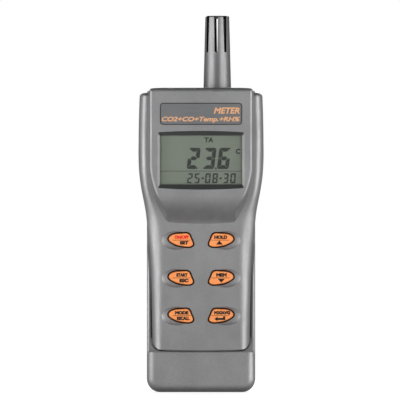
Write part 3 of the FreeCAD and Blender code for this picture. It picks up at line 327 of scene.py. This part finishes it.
def clear_pane(name):
    """Clear acrylic with a trace of fingerprints in its gloss."""
    material, tree, shader = new_material(name)
    smudge = noise(tree, 240.0, 4.0, (1.0, 1.0, 0.6))
    tint = mixed(tree, smudge, (0.95, 0.965, 0.95), (0.985, 0.99, 0.985))
    shade(tree, shader, tint, remap(tree, smudge, 0.35, 0.75, 0.01, 0.09), Transmission_Weight=1.0, IOR=1.2)
    return material


def label_film(name):
    """Printed film: a dark satin grey, lightly brushed along its length."""
    material, tree, shader = new_material(name)
    lines = noise(tree, 1500.0, 3.0, (0.06, 1.0, 1.0))
    cloud = noise(tree, 60.0, 1.0)
    tint = mixed(tree, remap(tree, cloud, 0.3, 0.7, 0.0, 1.0), (0.175, 0.178, 0.184), (0.215, 0.218, 0.223))
    colour = mixed(tree, remap(tree, lines, 0.3, 0.7, 0.0, 0.5), tint, (0.24, 0.243, 0.248))
    shade(tree, shader, colour, remap(tree, lines, 0.3, 0.7, 0.34, 0.46), Metallic=0.35)
    bumped(tree, shader, ((lines, 0.003 * MM),))
    return material


def printed_ink(name, first, second, roughness=0.5):
    """Screen-printed ink, a little uneven in tone and thickness."""
    material, tree, shader = new_material(name)
    grain = noise(tree, 3500.0, 3.0)
    colour = mixed(tree, remap(tree, grain, 0.35, 0.65, 0.0, 1.0), first, second)
    shade(tree, shader, colour, remap(tree, grain, 0.3, 0.7, roughness - 0.08, roughness + 0.08))
    bumped(tree, shader, ((grain, 0.003 * MM),))
    return material


def circuit_board(name):
    """Solder mask over copper: tracks stand proud, with a scatter of tinned pads."""
    material, tree, shader = new_material(name)
    tracks = add(tree, "TexBrick", Scale=260.0, Mortar_Size=0.012, Bias=0.0, Brick_Width=0.9, Row_Height=0.3)
    tree.links.new(coordinates(tree, turn=(math.radians(90), 0.0, 0.0)), tracks.inputs["Vector"])
    pads = remap(tree, cells(tree, 420.0), 0.10, 0.13, 1.0, 0.0)
    mask = noise(tree, 120.0, 3.0)
    green = mixed(tree, remap(tree, mask, 0.3, 0.7, 0.0, 1.0), (0.012, 0.085, 0.03), (0.02, 0.12, 0.045))
    tracked = mixed(tree, tracks.outputs["Fac"], green, (0.035, 0.2, 0.075))
    colour = mixed(tree, pads, tracked, (0.62, 0.6, 0.52))
    shade(tree, shader, colour, remap(tree, mask, 0.3, 0.7, 0.25, 0.38))
    bumped(tree, shader, ((tracks.outputs["Fac"], 0.03 * MM), (pads, 0.03 * MM)))
    return material


def elastomer_strip(name):
    """Alternating conductive and clear layers of rubber, side by side."""
    material, tree, shader = new_material(name)
    layers = bands(tree, 900.0)
    grain = noise(tree, 2500.0, 2.0)
    colour = mixed(tree, remap(tree, layers, 0.4, 0.6, 0.0, 1.0), (0.03, 0.03, 0.032), (0.32, 0.3, 0.28))
    shade(tree, shader, colour, remap(tree, grain, 0.3, 0.7, 0.55, 0.7))
    bumped(tree, shader, ((grain, 0.01 * MM),))
    return material


def felt(name, dark, light, scale, depth):
    """Open felt or foam: pores with soft walls between them."""
    material, tree, shader = new_material(name)
    pores = cells(tree, scale)
    fuzz = noise(tree, scale * 2.5, 3.0)
    colour = mixed(tree, remap(tree, pores, 0.1, 0.6, 0.0, 1.0), dark, light)
    shade(tree, shader, colour, remap(tree, fuzz, 0.3, 0.7, 0.85, 1.0), Sheen_Weight=0.3)
    bumped(tree, shader, ((pores, depth), (fuzz, depth * 0.5)))
    return material


def cell_sleeve(name, low_x, high_x):
    """A dry cell's printed sleeve: bare steel ends, slate blue foil and a pale band by the plus end."""
    bare_steel = (0.55, 0.54, 0.52)
    slate_foil = (0.06, 0.12, 0.19)
    pale_band = (0.62, 0.63, 0.64)
    material, tree, shader = new_material(name)
    along = remap(tree, parts_of(tree, "Object")["X"], low_x, high_x, 0.0, 1.0)
    sleeve = ramp(tree, along, (
        (0.0, bare_steel),
        (0.025, slate_foil),
        (0.78, pale_band),
        (0.86, slate_foil),
        (0.955, bare_steel),
    ))
    sleeve.node.color_ramp.interpolation = "CONSTANT"
    scratch = noise(tree, 900.0, 3.0, (0.15, 1.0, 1.0))
    colour = mixed(tree, remap(tree, scratch, 0.62, 0.75, 0.0, 0.4), sleeve, (0.6, 0.58, 0.55))
    shade(tree, shader, colour, remap(tree, scratch, 0.3, 0.7, 0.2, 0.34), Metallic=0.55, Coat_Weight=0.3)
    bumped(tree, shader, ((scratch, 0.006 * MM),))
    return material


def floor_paper(name):
    """Pale paper, lit a little from within so that it keeps near white."""
    material, tree, shader = new_material(name)
    fibre = noise(tree, 500.0, 3.0)
    colour = mixed(tree, fibre, (0.60, 0.60, 0.60), (0.66, 0.66, 0.66))
    shade(tree, shader, colour, remap(tree, fibre, 0.3, 0.7, 0.8, 0.95))
    shader.inputs["Emission Color"].default_value = (1.0, 1.0, 1.0, 1.0)
    shader.inputs["Emission Strength"].default_value = 0.75
    bumped(tree, shader, ((fibre, 0.03 * MM),))
    return material


# Nodes whose finish differs from that of the other nodes in their slot.
SPECIAL_FINISHES = {"front_housing": "front", "zebra_strips": "zebra"}


def housing_finishes():
    """The painted and moulded outside of the meter."""
    satin = (0.42, 0.54, 0.82)
    probe_satin = (0.36, 0.46, 0.85)
    return {
        "housing": satin_paint("housing_paint", *HOUSING_GREYS, *satin),
        # The window lips get painted shade.
        "front": satin_paint("front_paint_and_lip_shade", *HOUSING_GREYS, *satin, window_lip_shade),
        # The probe's slot walls get painted shade.
        "probe_plastic": satin_paint("probe_paint_and_slot_shade", *PROBE_GREYS, *probe_satin, probe_slot_shade, PROBE_SLOT_SHADE),
        "window": clear_pane("window_acrylic"),
        "lcd": lcd_film("lcd_film"),
        "label": label_film("label_film"),
        # The keys glow with painted light.
        "key_orange": silicone("key_silicone", (0.95, 0.275, 0.068), (1.0, 0.37, 0.118), 0.42, 0.55, 0.2),
        "jack": plain_plastic("socket_plastic", (0.015, 0.015, 0.016), (0.022, 0.022, 0.023), 0.3, 0.42),
        "foam": felt("door_foam", (0.02, 0.02, 0.022), (0.07, 0.07, 0.074), 1500.0, 0.15 * MM),
    }


def inner_finishes():
    """What is inside the housing, and the metal parts."""
    even = (1.0, 1.0, 1.0)
    along_x = (0.08, 1.0, 1.0)
    along_z = (1.0, 1.0, 0.1)
    return {
        "diffuser": plain_plastic("diffuser", (0.78, 0.79, 0.76), (0.84, 0.85, 0.82), 0.4, 0.55),
        "black_plastic": plain_plastic(
            "black_nylon", (0.018, 0.018, 0.019), (0.03, 0.03, 0.031), 0.45, 0.62
        ),
        "contact_rubber": plain_plastic(
            "carbon_rubber", (0.016, 0.008, 0.006), (0.03, 0.014, 0.01), 0.6, 0.75
        ),
        "zebra": elastomer_strip("conductive_rubber"),
        "board": circuit_board("circuit_board"),
        "chip": plain_plastic("chip_epoxy", (0.016, 0.016, 0.017), (0.026, 0.026, 0.027), 0.5, 0.65, 3500.0),
        "steel": brushed_metal("screw_steel", (0.30, 0.30, 0.31), (0.46, 0.46, 0.47), 0.28, 0.42, even),
        "nickel": brushed_metal("nickel_plate", (0.55, 0.53, 0.49), (0.68, 0.66, 0.61), 0.18, 0.3, along_z),
        "sensor_metal": brushed_metal(
            "sensor_can", (0.45, 0.45, 0.46), (0.6, 0.6, 0.61), 0.25, 0.38, along_x
        ),
        "sensor_plastic": plain_plastic("sensor_body", (0.55, 0.56, 0.55), (0.65, 0.66, 0.65), 0.4, 0.55),
        "filter": felt("filter_felt", (0.5, 0.5, 0.48), (0.74, 0.74, 0.72), 2600.0, 0.06 * MM),
    }


def dry_cell_finish(node):
    """A sleeve whose plus end points the other way on every second cell."""
    low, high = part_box(node)
    ends = (low.x, high.x) if int(node[-1]) % 2 else (high.x, low.x)
    return cell_sleeve("sleeve_" + node, *ends)


def paint_nodes():
    """Gives each CAD node its finish, by the slot that the record names for it."""
    finishes = {**housing_finishes(), **inner_finishes()}
    for part in frame["record"]["subparts"]:
        node = part["node"]
        finish = SPECIAL_FINISHES.get(node, part["material_slot"])
        skin = dry_cell_finish(node) if finish == "cell" else finishes[finish]
        materials = frame["nodes"][node].data.materials
        materials.clear()
        materials.append(skin)
    return finishes


# ---------------------------------------------------------------- mesh helpers

def piece(name, mesh, body, material):
    """Makes a flat-shaded mesh object that rides on a body."""
    thing = bpy.data.objects.new(name, mesh)
    scene.collection.objects.link(thing)
    mesh.materials.append(material)
    for face in mesh.polygons:
        face.use_smooth = False
    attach(thing, body)


def mesh_data(work, name):
    """Turns an edited mesh, with its faces turned outwards, into finished data."""
    bmesh.ops.recalc_face_normals(work, faces=work.faces)
    data = bpy.data.meshes.new(name)
    work.to_mesh(data)
    work.free()
    return data


def slab(outlines, front, rear):
    """Closed flat shapes in the XZ plane, each given as (x, z) points, made solid from front to rear."""
    mesh = bmesh.new()
    for outline in outlines:
        near = [mesh.verts.new((x, front, z)) for x, z in outline]
        far = [mesh.verts.new((x, rear, z)) for x, z in outline]
        count = len(outline)
        mesh.faces.new(near)
        mesh.faces.new(list(reversed(far)))
        for i in range(count):
            j = (i + 1) % count
            mesh.faces.new((near[j], near[i], far[i], far[j]))
    return mesh_data(mesh, "slab")


def rounded_outline(half_x, low, high, r, steps=6):
    """A rectangle with round corners, centred on x = 0."""
    points = []
    x = half_x - r
    corners = ((x, low + r, -90), (x, high - r, 0), (-x, high - r, 90), (-x, low + r, 180))
    for cx, cz, start in corners:
        for i in range(steps + 1):
            turn = math.radians(start + 90 * i / steps)
            points.append((cx + r * math.cos(turn), cz + r * math.sin(turn)))
    return points


def frame_slab(outer, inner, front, rear):
    """A closed ring between two outlines of the same number of points."""
    mesh = bmesh.new()
    loops = []
    for outline, y in ((outer, front), (inner, front), (inner, rear), (outer, rear)):
        loops.append([mesh.verts.new((x, y, z)) for x, z in outline])
    count = len(outer)
    for a, b in zip(loops, loops[1:] + loops[:1]):
        for i in range(count):
            j = (i + 1) % count
            mesh.faces.new((a[i], a[j], b[j], b[i]))
    return mesh_data(mesh, "ring")


def lettering(text, width, height, thickness, weight=0.0, slant=0.0):
    """Letters facing -Y, stretched to a width and height about the origin; weight thickens the strokes."""
    curve = bpy.data.curves.new("letters", "FONT")
    curve.body = text
    curve.size = 1.0
    curve.extrude = 0.5 - weight
    curve.bevel_depth = weight
    curve.bevel_resolution = 0
    curve.shear = slant
    curve.resolution_u = 4
    holder = bpy.data.objects.new("letters", curve)
    scene.collection.objects.link(holder)
    bpy.context.view_layer.update()
    mesh = bpy.data.meshes.new_from_object(holder.evaluated_get(bpy.context.evaluated_depsgraph_get()))
    bpy.data.objects.remove(holder)
    bpy.data.curves.remove(curve)
    mesh.materials.clear()
    xs = [v.co.x for v in mesh.vertices]
    ys = [v.co.y for v in mesh.vertices]
    middle = Vector(((min(xs) + max(xs)) / 2, (min(ys) + max(ys)) / 2, 0.0))
    across = width / (max(xs) - min(xs))
    upright = height / (max(ys) - min(ys))
    for vertex in mesh.vertices:
        flat = vertex.co - middle
        vertex.co = (flat.x * across, -flat.z * thickness, flat.y * upright)
    return mesh


def moved(mesh, x, y, z):
    for vertex in mesh.vertices:
        vertex.co += Vector((x, y, z))
    return mesh


def divided(mesh, longest=0.5 * MM):
    """Splits long edges, so that a print can follow a curved face."""
    work = bmesh.new()
    work.from_mesh(mesh)
    bmesh.ops.triangulate(work, faces=work.faces)
    for _ in range(3):
        long_edges = [e for e in work.edges if e.calc_length() > longest]
        bmesh.ops.subdivide_edges(work, edges=long_edges, cuts=1)
        bmesh.ops.triangulate(work, faces=work.faces)
    work.to_mesh(mesh)
    work.free()
    return mesh


def draped(mesh, surface, lift):
    """Lays a flat mesh onto a surface found by looking along +Y, keeping its own thickness."""
    for vertex in mesh.vertices:
        start = Vector((vertex.co.x, -1.0, vertex.co.z))
        spot, _, _, _ = surface.ray_cast(start, Vector((0.0, 1.0, 0.0)))
        if spot is not None:
            vertex.co.y += spot.y - lift
    return mesh


# ---------------------------------------------------------------- display

# The lit bars of each symbol: a to f run clockwise from the top, and g is the middle one.
SEGMENT_CODES = {
    "0": "abcdef",
    "2": "abged",
    "3": "abgcd",
    "5": "afgcd",
    "6": "afgedc",
    "8": "abcdefg",
}

# Shares of a bar's stroke: the gap between bars, and the cut at a corner.
BAR_GAP = 0.09
BAR_CUT = 0.34

# Width, height and stroke of the digits, and what a step along the small line takes.
BIG_DIGIT = (6.35 * MM, 11.5 * MM, 2.1 * MM)
SMALL_DIGIT = (2.85 * MM, 5.5 * MM, 0.9 * MM)
SMALL_STEP = 3.93 * MM
POINT = 1.0 * MM
DASH = 1.35 * MM
DASH_LEAD = 0.1 * MM
DASH_STEP = 1.88 * MM


def top_bar(w, h, t, gap):
    cut = t * BAR_CUT
    shoulder = h - cut * 0.6
    left = [(gap + t, h - t), (gap, shoulder), (gap + cut, h)]
    right = [(w - x, z) for x, z in reversed(left)]
    return left[2:] + right + left[:2]


def middle_bar(w, h, t, gap):
    mid = h / 2
    half = t / 2
    left = [(t + gap, mid - half), (half + gap, mid), (t + gap, mid + half)]
    right = [(w - x, z) for x, z in reversed(left)]
    return left[1:] + right + left[:1]


def upper_left_bar(h, t, gap):
    mid = h / 2
    cut = t * BAR_CUT
    tip = h - gap - cut
    return [
        (0, mid + gap), (t / 2, mid + gap * 0.6), (t, mid + t / 2 + gap),
        (t, h - t - gap), (cut * 0.6, tip + cut * 0.4), (0, tip),
    ]


def segment(kind, w, h, t, gap):
    """One bar of a seven-segment digit of width w and height h, as points from its lower left corner."""
    if kind == "g":
        return middle_bar(w, h, t, gap)
    points = top_bar(w, h, t, gap) if kind in "ad" else upper_left_bar(h, t, gap)
    if kind in "cde":
        points = [(x, h - z) for x, z in points]
    if kind in "bc":
        points = [(w - x, z) for x, z in points]
    return points


def block(x, z, width, height):
    return [(x, z), (x + width, z), (x + width, z + height), (x, z + height)]


def digit(symbol, x, z, w, h, t, slant):
    """The lit bars of a digit, leaning to the right."""
    gap = t * BAR_GAP
    shapes = []
    for kind in SEGMENT_CODES[symbol]:
        points = segment(kind, w, h, t, gap)
        shapes.append([(x + px + pz * slant, z + pz) for px, pz in points])
    return shapes


def reading(middle, base):
    """The large value and its point."""
    shapes = []
    for symbol, x in zip("236", (-7.9, 0.7, 8.6)):
        shapes += digit(symbol, middle + x * MM, base, *BIG_DIGIT, DIGIT_LEAN)
    shapes.append(block(middle + 7.5 * MM, base - 0.2 * MM, POINT, POINT))
    return shapes


def date_line(x, foot):
    """The small line below the rule, laid out from x to the right."""
    width, height, stroke = SMALL_DIGIT
    shapes = []
    for symbol in "25-08-30":
        if symbol == "-":
            shapes.append(block(x + DASH_LEAD, foot + (height - stroke) / 2, DASH, stroke))
            x += DASH_STEP
        else:
            shapes += digit(symbol, x, foot, width, height, stroke, DIGIT_LEAN * 0.7)
            x += SMALL_STEP
    return shapes


def lcd_readout(ink):
    """All that the display shows, printed just in front of its glass."""
    glass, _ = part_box("lcd_glass")
    rear = glass.y - 0.01 * MM
    front = rear - PRINT
    low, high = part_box("display_window")
    middle = (low.x + high.x) / 2
    margin = 0.9 * MM
    rule = block(low.x + margin, low.z + 8.1 * MM, high.x - low.x - 2 * margin, 0.28 * MM)
    flat_pieces = {
        "lcd_reading": reading(middle, low.z + 9.4 * MM),
        "lcd_date": date_line(middle - 7.7 * MM, low.z + 1.6 * MM),
        "lcd_rule": [rule],
    }
    for name, outlines in flat_pieces.items():
        piece(name, slab(outlines, front, rear), "root", ink)
    mark = lettering("TA", 4.8 * MM, 2.8 * MM, PRINT, 0.045, 0.12)
    piece("lcd_mode_mark", moved(mark, middle + 4.2 * MM, front, low.z + 25.2 * MM), "root", ink)
    unit = lettering("C", 2.6 * MM, 2.9 * MM, PRINT, 0.05, 0.1)
    piece("lcd_unit", moved(unit, middle + 20.1 * MM, front, low.z + 19.0 * MM), "root", ink)


# ---------------------------------------------------------------- label plate

PLATE_CORNER = 1.75 * MM
BORDER = 0.42 * MM
PLATE_WEIGHT = 0.035
PLATE_SLANT = 0.25


def plate_print(ink, edge):
    """The label plate's border, a title at its right and the list of what is measured."""
    low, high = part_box("name_plate")
    front = low.y - PRINT
    rear = low.y + 0.01 * MM
    middle = (low.x + high.x) / 2
    half = (high.x - low.x) / 2
    outer = rounded_outline(half, low.z, high.z, PLATE_CORNER)
    inner = rounded_outline(half - BORDER, low.z + BORDER, high.z - BORDER, PLATE_CORNER - BORDER)
    border = frame_slab(outer, inner, front, rear)
    piece("plate_border", moved(border, middle, 0.0, 0.0), "root", edge)
    title_width = 14.2 * MM
    title_x = high.x - 1.2 * MM - title_width / 2
    title = lettering("METER", title_width, 3.4 * MM, PRINT, PLATE_WEIGHT, PLATE_SLANT)
    piece("plate_title", moved(title, title_x, front, high.z - 4.15 * MM), "root", ink)
    line_width = 2 * half - 1.8 * MM
    line = lettering("CO2+CO+Temp.+RH%", line_width, 3.3 * MM, PRINT, PLATE_WEIGHT, PLATE_SLANT)
    piece("plate_functions", moved(line, middle, front, low.z + 2.7 * MM), "root", ink)


# ---------------------------------------------------------------- keys

# Each key's upper and lower legend: the word or arrow, its width in mm (an arrow has its own) and
# its distance from the meter's centre line in mm.
KEY_LEGENDS = {
    "power": (("ON/OFF", 7.7, 10.6), ("SET", 4.7, 9.2)),
    "hold": (("HOLD", 7.1, 10.7), ("up", 0.0, 10.0)),
    "start": (("START", 6.1, 10.4), ("ESC", 4.9, 9.3)),
    "memory": (("MEM", 5.7, 11.1), ("down", 0.0, 11.0)),
    "mode": (("MODE", 7.3, 10.5), ("RECALL", 6.9, 9.7)),
    "average": (("MX/AVG", 8.7, 11.5), ("enter", 0.0, 10.2)),
}
LEGEND_HEIGHT = 2.0 * MM
LEGEND_THICK = 0.08 * MM
LEGEND_LIFT = 0.02 * MM
LEGEND_WEIGHT = 0.08

# The rule between the legends, and how far it and they lie from the middle of the cap.
RULE_WIDTH = 9.8 * MM
RULE_THICK = 0.28 * MM
RULE_DROP = 0.1 * MM
LEGEND_RISE = 1.6 * MM
LEGEND_DROP = 1.45 * MM

# Arrow outlines about their own middle, in mm.
ARROWS = {
    "up": [(-1.85, -1.0), (1.85, -1.0), (0.0, 1.2)],
    "down": [(-1.9, 1.0), (1.9, 1.0), (0.0, -1.15)],
    "enter": [
        (-3.0, -0.3), (-1.2, 0.95), (-1.2, 0.25), (1.8, 0.25), (1.8, 1.1),
        (3.0, 1.1), (3.0, -0.85), (-1.2, -0.85), (-1.2, -1.55),
    ],
}


# Depth below a key's top at which its side wall is straight.
WALL_BELOW_TOP = 0.7 * MM


def cap_outline(node, count=96):
    """The key's outline as evenly spaced (x, z) points, read from its straight side wall."""
    low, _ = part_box(node)
    mesh = frame["nodes"][node].data
    wall = low.y + WALL_BELOW_TOP
    on_wall = [v.co for v in mesh.vertices if abs(v.co.y - wall) < 0.02 * MM]
    points = sorted(set((round(co.x, 6), round(co.z, 6)) for co in on_wall))
    middle = Vector((sum(p[0] for p in points), sum(p[1] for p in points))) / len(points)
    points.sort(key=lambda p: math.atan2(p[1] - middle.y, p[0] - middle.x))
    ring = [Vector(p) for p in points]
    lengths = [(ring[(i + 1) % len(ring)] - ring[i]).length for i in range(len(ring))]
    total = sum(lengths)
    even = []
    at = 0
    walked = 0.0
    for i in range(count):
        goal = total * i / count
        while walked + lengths[at] < goal:
            walked += lengths[at]
            at += 1
        share = (goal - walked) / lengths[at]
        even.append(ring[at].lerp(ring[(at + 1) % len(ring)], share))
    return even, middle


def inset(ring, amount):
    """The outline moved inwards by an amount along its normals, then evened out a little."""
    count = len(ring)
    moved_ring = []
    for i in range(count):
        along = (ring[(i + 2) % count] - ring[i - 2]).normalized()
        moved_ring.append(ring[i] + Vector((-along.y, along.x)) * amount)
    return [(moved_ring[i - 1] + moved_ring[i] * 2 + moved_ring[(i + 1) % count]) / 4 for i in range(count)]


# A cap's section from its foot to its face: inset from the outline and depth below the key's top,
# both in mm, and 1 for the flank, which is coloured dark brown as painted shade, or 0 for the bright rim and
# face.
CAP_PROFILE = (
    (0.00, 2.60, 1),
    (0.00, 1.70, 1),
    (0.10, 1.25, 1),
    (0.28, 0.85, 1),
    (0.44, 0.60, 1),
    (0.52, 0.44, 0),
    (0.60, 0.22, 0),
    (0.74, 0.07, 0),
    (0.95, 0.01, 0),
    (1.25, 0.00, 0),
    (1.80, 0.02, 0),
)

# How much deeper the face is in its middle than at its rim, in mm, and the shares of the rim's size
# at which it is shaped.
DISH = 0.05
FACE_SHARES = (0.8, 0.6, 0.4, 0.2)


def loop_at(mesh, points, y):
    return [mesh.verts.new((p.x, y, p.y)) for p in points]


def cap_loops(mesh, ring, middle, top):
    """Loops of vertices from the cap's foot to near its middle, each with its place in the materials."""
    loops = []
    for amount, drop, shade_index in CAP_PROFILE:
        loops.append((loop_at(mesh, inset(ring, amount * MM), top + drop * MM), shade_index))
    rim_inset, rim_drop, _ = CAP_PROFILE[-1]
    rim = inset(ring, rim_inset * MM)
    for share in FACE_SHARES:
        drop = rim_drop + DISH * (1 - share * share)
        here = [middle + (p - middle) * share for p in rim]
        loops.append((loop_at(mesh, here, top + drop * MM), 0))
    return loops


def cap_mesh(node):
    """A moulded cap with a flank, a raised rim and a face that dishes slightly, and its face to print on."""
    low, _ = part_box(node)
    ring, middle = cap_outline(node)
    mesh = bmesh.new()
    loops = cap_loops(mesh, ring, middle, low.y)
    count = len(ring)
    for (a, _), (b, shade_index) in zip(loops, loops[1:]):
        for i in range(count):
            j = (i + 1) % count
            face = mesh.faces.new((a[i], a[j], b[j], b[i]))
            face.material_index = shade_index
            face.smooth = True
    deepest = CAP_PROFILE[-1][1] + DISH
    centre = mesh.verts.new((middle.x, low.y + deepest * MM, middle.y))
    last = loops[-1][0]
    for i in range(count):
        mesh.faces.new((last[i], last[(i + 1) % count], centre)).smooth = True
    mesh.faces.new(loops[0][0]).material_index = 1
    surface = BVHTree.FromBMesh(mesh)
    return mesh_data(mesh, node), surface, middle


def key_cap(name, skin, flank):
    """Puts a moulded cap in the place of a key, and gives its face and its middle for the legends."""
    node = "key_" + name
    data, surface, middle = cap_mesh(node)
    cap = bpy.data.objects.new("cap_" + name, data)
    scene.collection.objects.link(cap)
    data.materials.append(skin)
    data.materials.append(flank)
    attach(cap, "button_" + name)
    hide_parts(node)
    return surface, middle


def key_print(label, mesh, name, surface, ink):
    """Lays a legend or a rule onto a cap's face."""
    piece(label, draped(divided(mesh), surface, LEGEND_LIFT), "button_" + name, ink)


def key_legend(name, side, surface, middle, ink, red):
    """The printed words or arrows of a key, above and below a thin rule."""
    rule_z = middle.y - RULE_DROP
    near = -LEGEND_THICK / 2
    far = LEGEND_THICK / 2
    heights = (rule_z + LEGEND_RISE, rule_z - LEGEND_DROP)
    for place, (word, width, distance), z in zip(("upper", "lower"), KEY_LEGENDS[name], heights):
        x = side * distance * MM
        if word in ARROWS:
            shape = slab([[(x + px * MM, z + pz * MM) for px, pz in ARROWS[word]]], near, far)
        else:
            shape = lettering(word, width * MM, LEGEND_HEIGHT, LEGEND_THICK, LEGEND_WEIGHT)
            moved(shape, x, 0.0, z)
        colour = red if word == "ON/OFF" else ink
        key_print("legend_" + place + "_" + name, shape, name, surface, colour)
    line = block(middle.x - RULE_WIDTH / 2, rule_z - RULE_THICK / 2, RULE_WIDTH, RULE_THICK)
    key_print("legend_rule_" + name, slab([line], near, far), name, surface, ink)


def all_keys(skin, flank, ink, red):
    for name in KEY_LEGENDS:
        low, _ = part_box("key_" + name)
        side = 1 if low.x > 0 else -1
        surface, middle = key_cap(name, skin, flank)
        key_legend(name, side, surface, middle, ink, red)


# ---------------------------------------------------------------- stage

def aim(thing, target):
    direction = Vector(target) - thing.location
    thing.rotation_euler = direction.to_track_quat("-Z", "Y").to_euler()


def camera():
    data = bpy.data.cameras.new("camera")
    data.sensor_width = SENSOR
    data.lens = SENSOR * CAMERA_DISTANCE / VIEW_HEIGHT
    data.clip_end = 50.0
    view = bpy.data.objects.new("camera", data)
    scene.collection.objects.link(view)
    front = cad_box[0][1]
    view.location = (CENTRE_X, front - CAMERA_DISTANCE, CENTRE_Z)
    view.rotation_euler = (math.radians(90), 0.0, 0.0)
    scene.camera = view


def soft_box(name, azimuth, elevation, distance, width, height, power):
    """A rectangular soft light; azimuth 0 is in front of the object and 90 on its right."""
    data = bpy.data.lights.new(name, "AREA")
    data.shape = "RECTANGLE"
    data.size = width
    data.size_y = height
    data.energy = power
    lamp = bpy.data.objects.new(name, data)
    turn = math.radians(azimuth)
    lift = math.radians(elevation)
    level = distance * math.cos(lift)
    lamp.location = (level * math.sin(turn), -level * math.cos(turn), CENTRE_Z + distance * math.sin(lift))
    scene.collection.objects.link(lamp)
    aim(lamp, (0.0, 0.0, CENTRE_Z))
    lamp.visible_camera = False


# Brightness of the surroundings: what the object is lit by where they are dim, and where they are full.
DIM = (0.03, 0.03, 0.03)
FULL = (0.55, 0.55, 0.55)
WHITE = (1.0, 1.0, 1.0)

# Height, as the Z of a direction, about which the band of light lies.
BAND_MIDDLE = -0.1


def studio_world():
    """White to the camera; to all else a band of soft light near the horizon, dimmer behind the object."""
    world = bpy.data.worlds.new("studio")
    scene.world = world
    world.use_nodes = True
    tree = world.node_tree
    place = add(tree, "TexCoord")
    split = add(tree, "SeparateXYZ")
    tree.links.new(place.outputs["Generated"], split.inputs["Vector"])
    from_band = add(tree, "Math")
    from_band.operation = "SUBTRACT"
    tree.links.new(split.outputs["Z"], from_band.inputs[0])
    from_band.inputs[1].default_value = BAND_MIDDLE
    height = add(tree, "Math")
    height.operation = "ABSOLUTE"
    tree.links.new(from_band.outputs[0], height.inputs[0])
    level = remap(tree, height.outputs[0], 0.3, 0.98, 1.0, 0.0)
    ahead = remap(tree, split.outputs["Y"], 0.2, 0.95, 1.0, 0.3)
    band = mixed(tree, product(tree, level, ahead), DIM, FULL)
    path = add(tree, "LightPath")
    seen = mixed(tree, path.outputs["Is Camera Ray"], band, WHITE)
    background = tree.nodes["Background"]
    tree.links.new(seen, background.inputs["Color"])
    background.inputs["Strength"].default_value = 1.0


def floor():
    """A pale sheet just below the object."""
    half = 0.4
    mesh = bmesh.new()
    bmesh.ops.create_grid(mesh, x_segments=8, y_segments=8, size=half)
    data = bpy.data.meshes.new("floor")
    mesh.to_mesh(data)
    mesh.free()
    data.materials.append(floor_paper("floor_paper"))
    ground = bpy.data.objects.new("floor", data)
    scene.collection.objects.link(ground)
    ground.location.z = cad_box[0][2] - 0.02 * MM
    ground.visible_diffuse = False
    ground.visible_glossy = False


def studio():
    scene.view_settings.view_transform = "Standard"
    camera()
    studio_world()
    for name, azimuth in (("left_box", -55.0), ("right_box", 55.0)):
        soft_box(name, azimuth, elevation=3.0, distance=1.3, width=1.3, height=0.7, power=8.0)
    soft_box("back_box", 180.0, elevation=25.0, distance=1.6, width=1.4, height=0.8, power=12.0)
    floor()


# ---------------------------------------------------------------- assembly

finishes = paint_nodes()

# The clear pane casts no shadow on the display behind it.
frame["nodes"]["display_window"].visible_shadow = False

lcd_ink = printed_ink("lcd_ink", (0.006, 0.009, 0.006), (0.010, 0.014, 0.010), 0.6)
label_ink = printed_ink("label_ink", (0.86, 0.42, 0.2), (0.95, 0.52, 0.28))
border_ink = printed_ink("border_ink", (0.03, 0.031, 0.034), (0.045, 0.046, 0.05))
key_ink = printed_ink("key_ink", (0.006, 0.003, 0.002), (0.012, 0.006, 0.004), 0.7)
red_ink = printed_ink("red_ink", (0.88, 0.014, 0.012), (1.0, 0.024, 0.018))
# Painted shade: the keys' sloping flanks are coloured dark brown for the shade that falls on them.
key_flank_shade = silicone("key_flank_shade", (0.13, 0.032, 0.008), (0.19, 0.048, 0.012), 0.5, 0.65)
lcd_readout(lcd_ink)
plate_print(label_ink, border_ink)
all_keys(finishes["key_orange"], key_flank_shade, key_ink, red_ink)
studio()
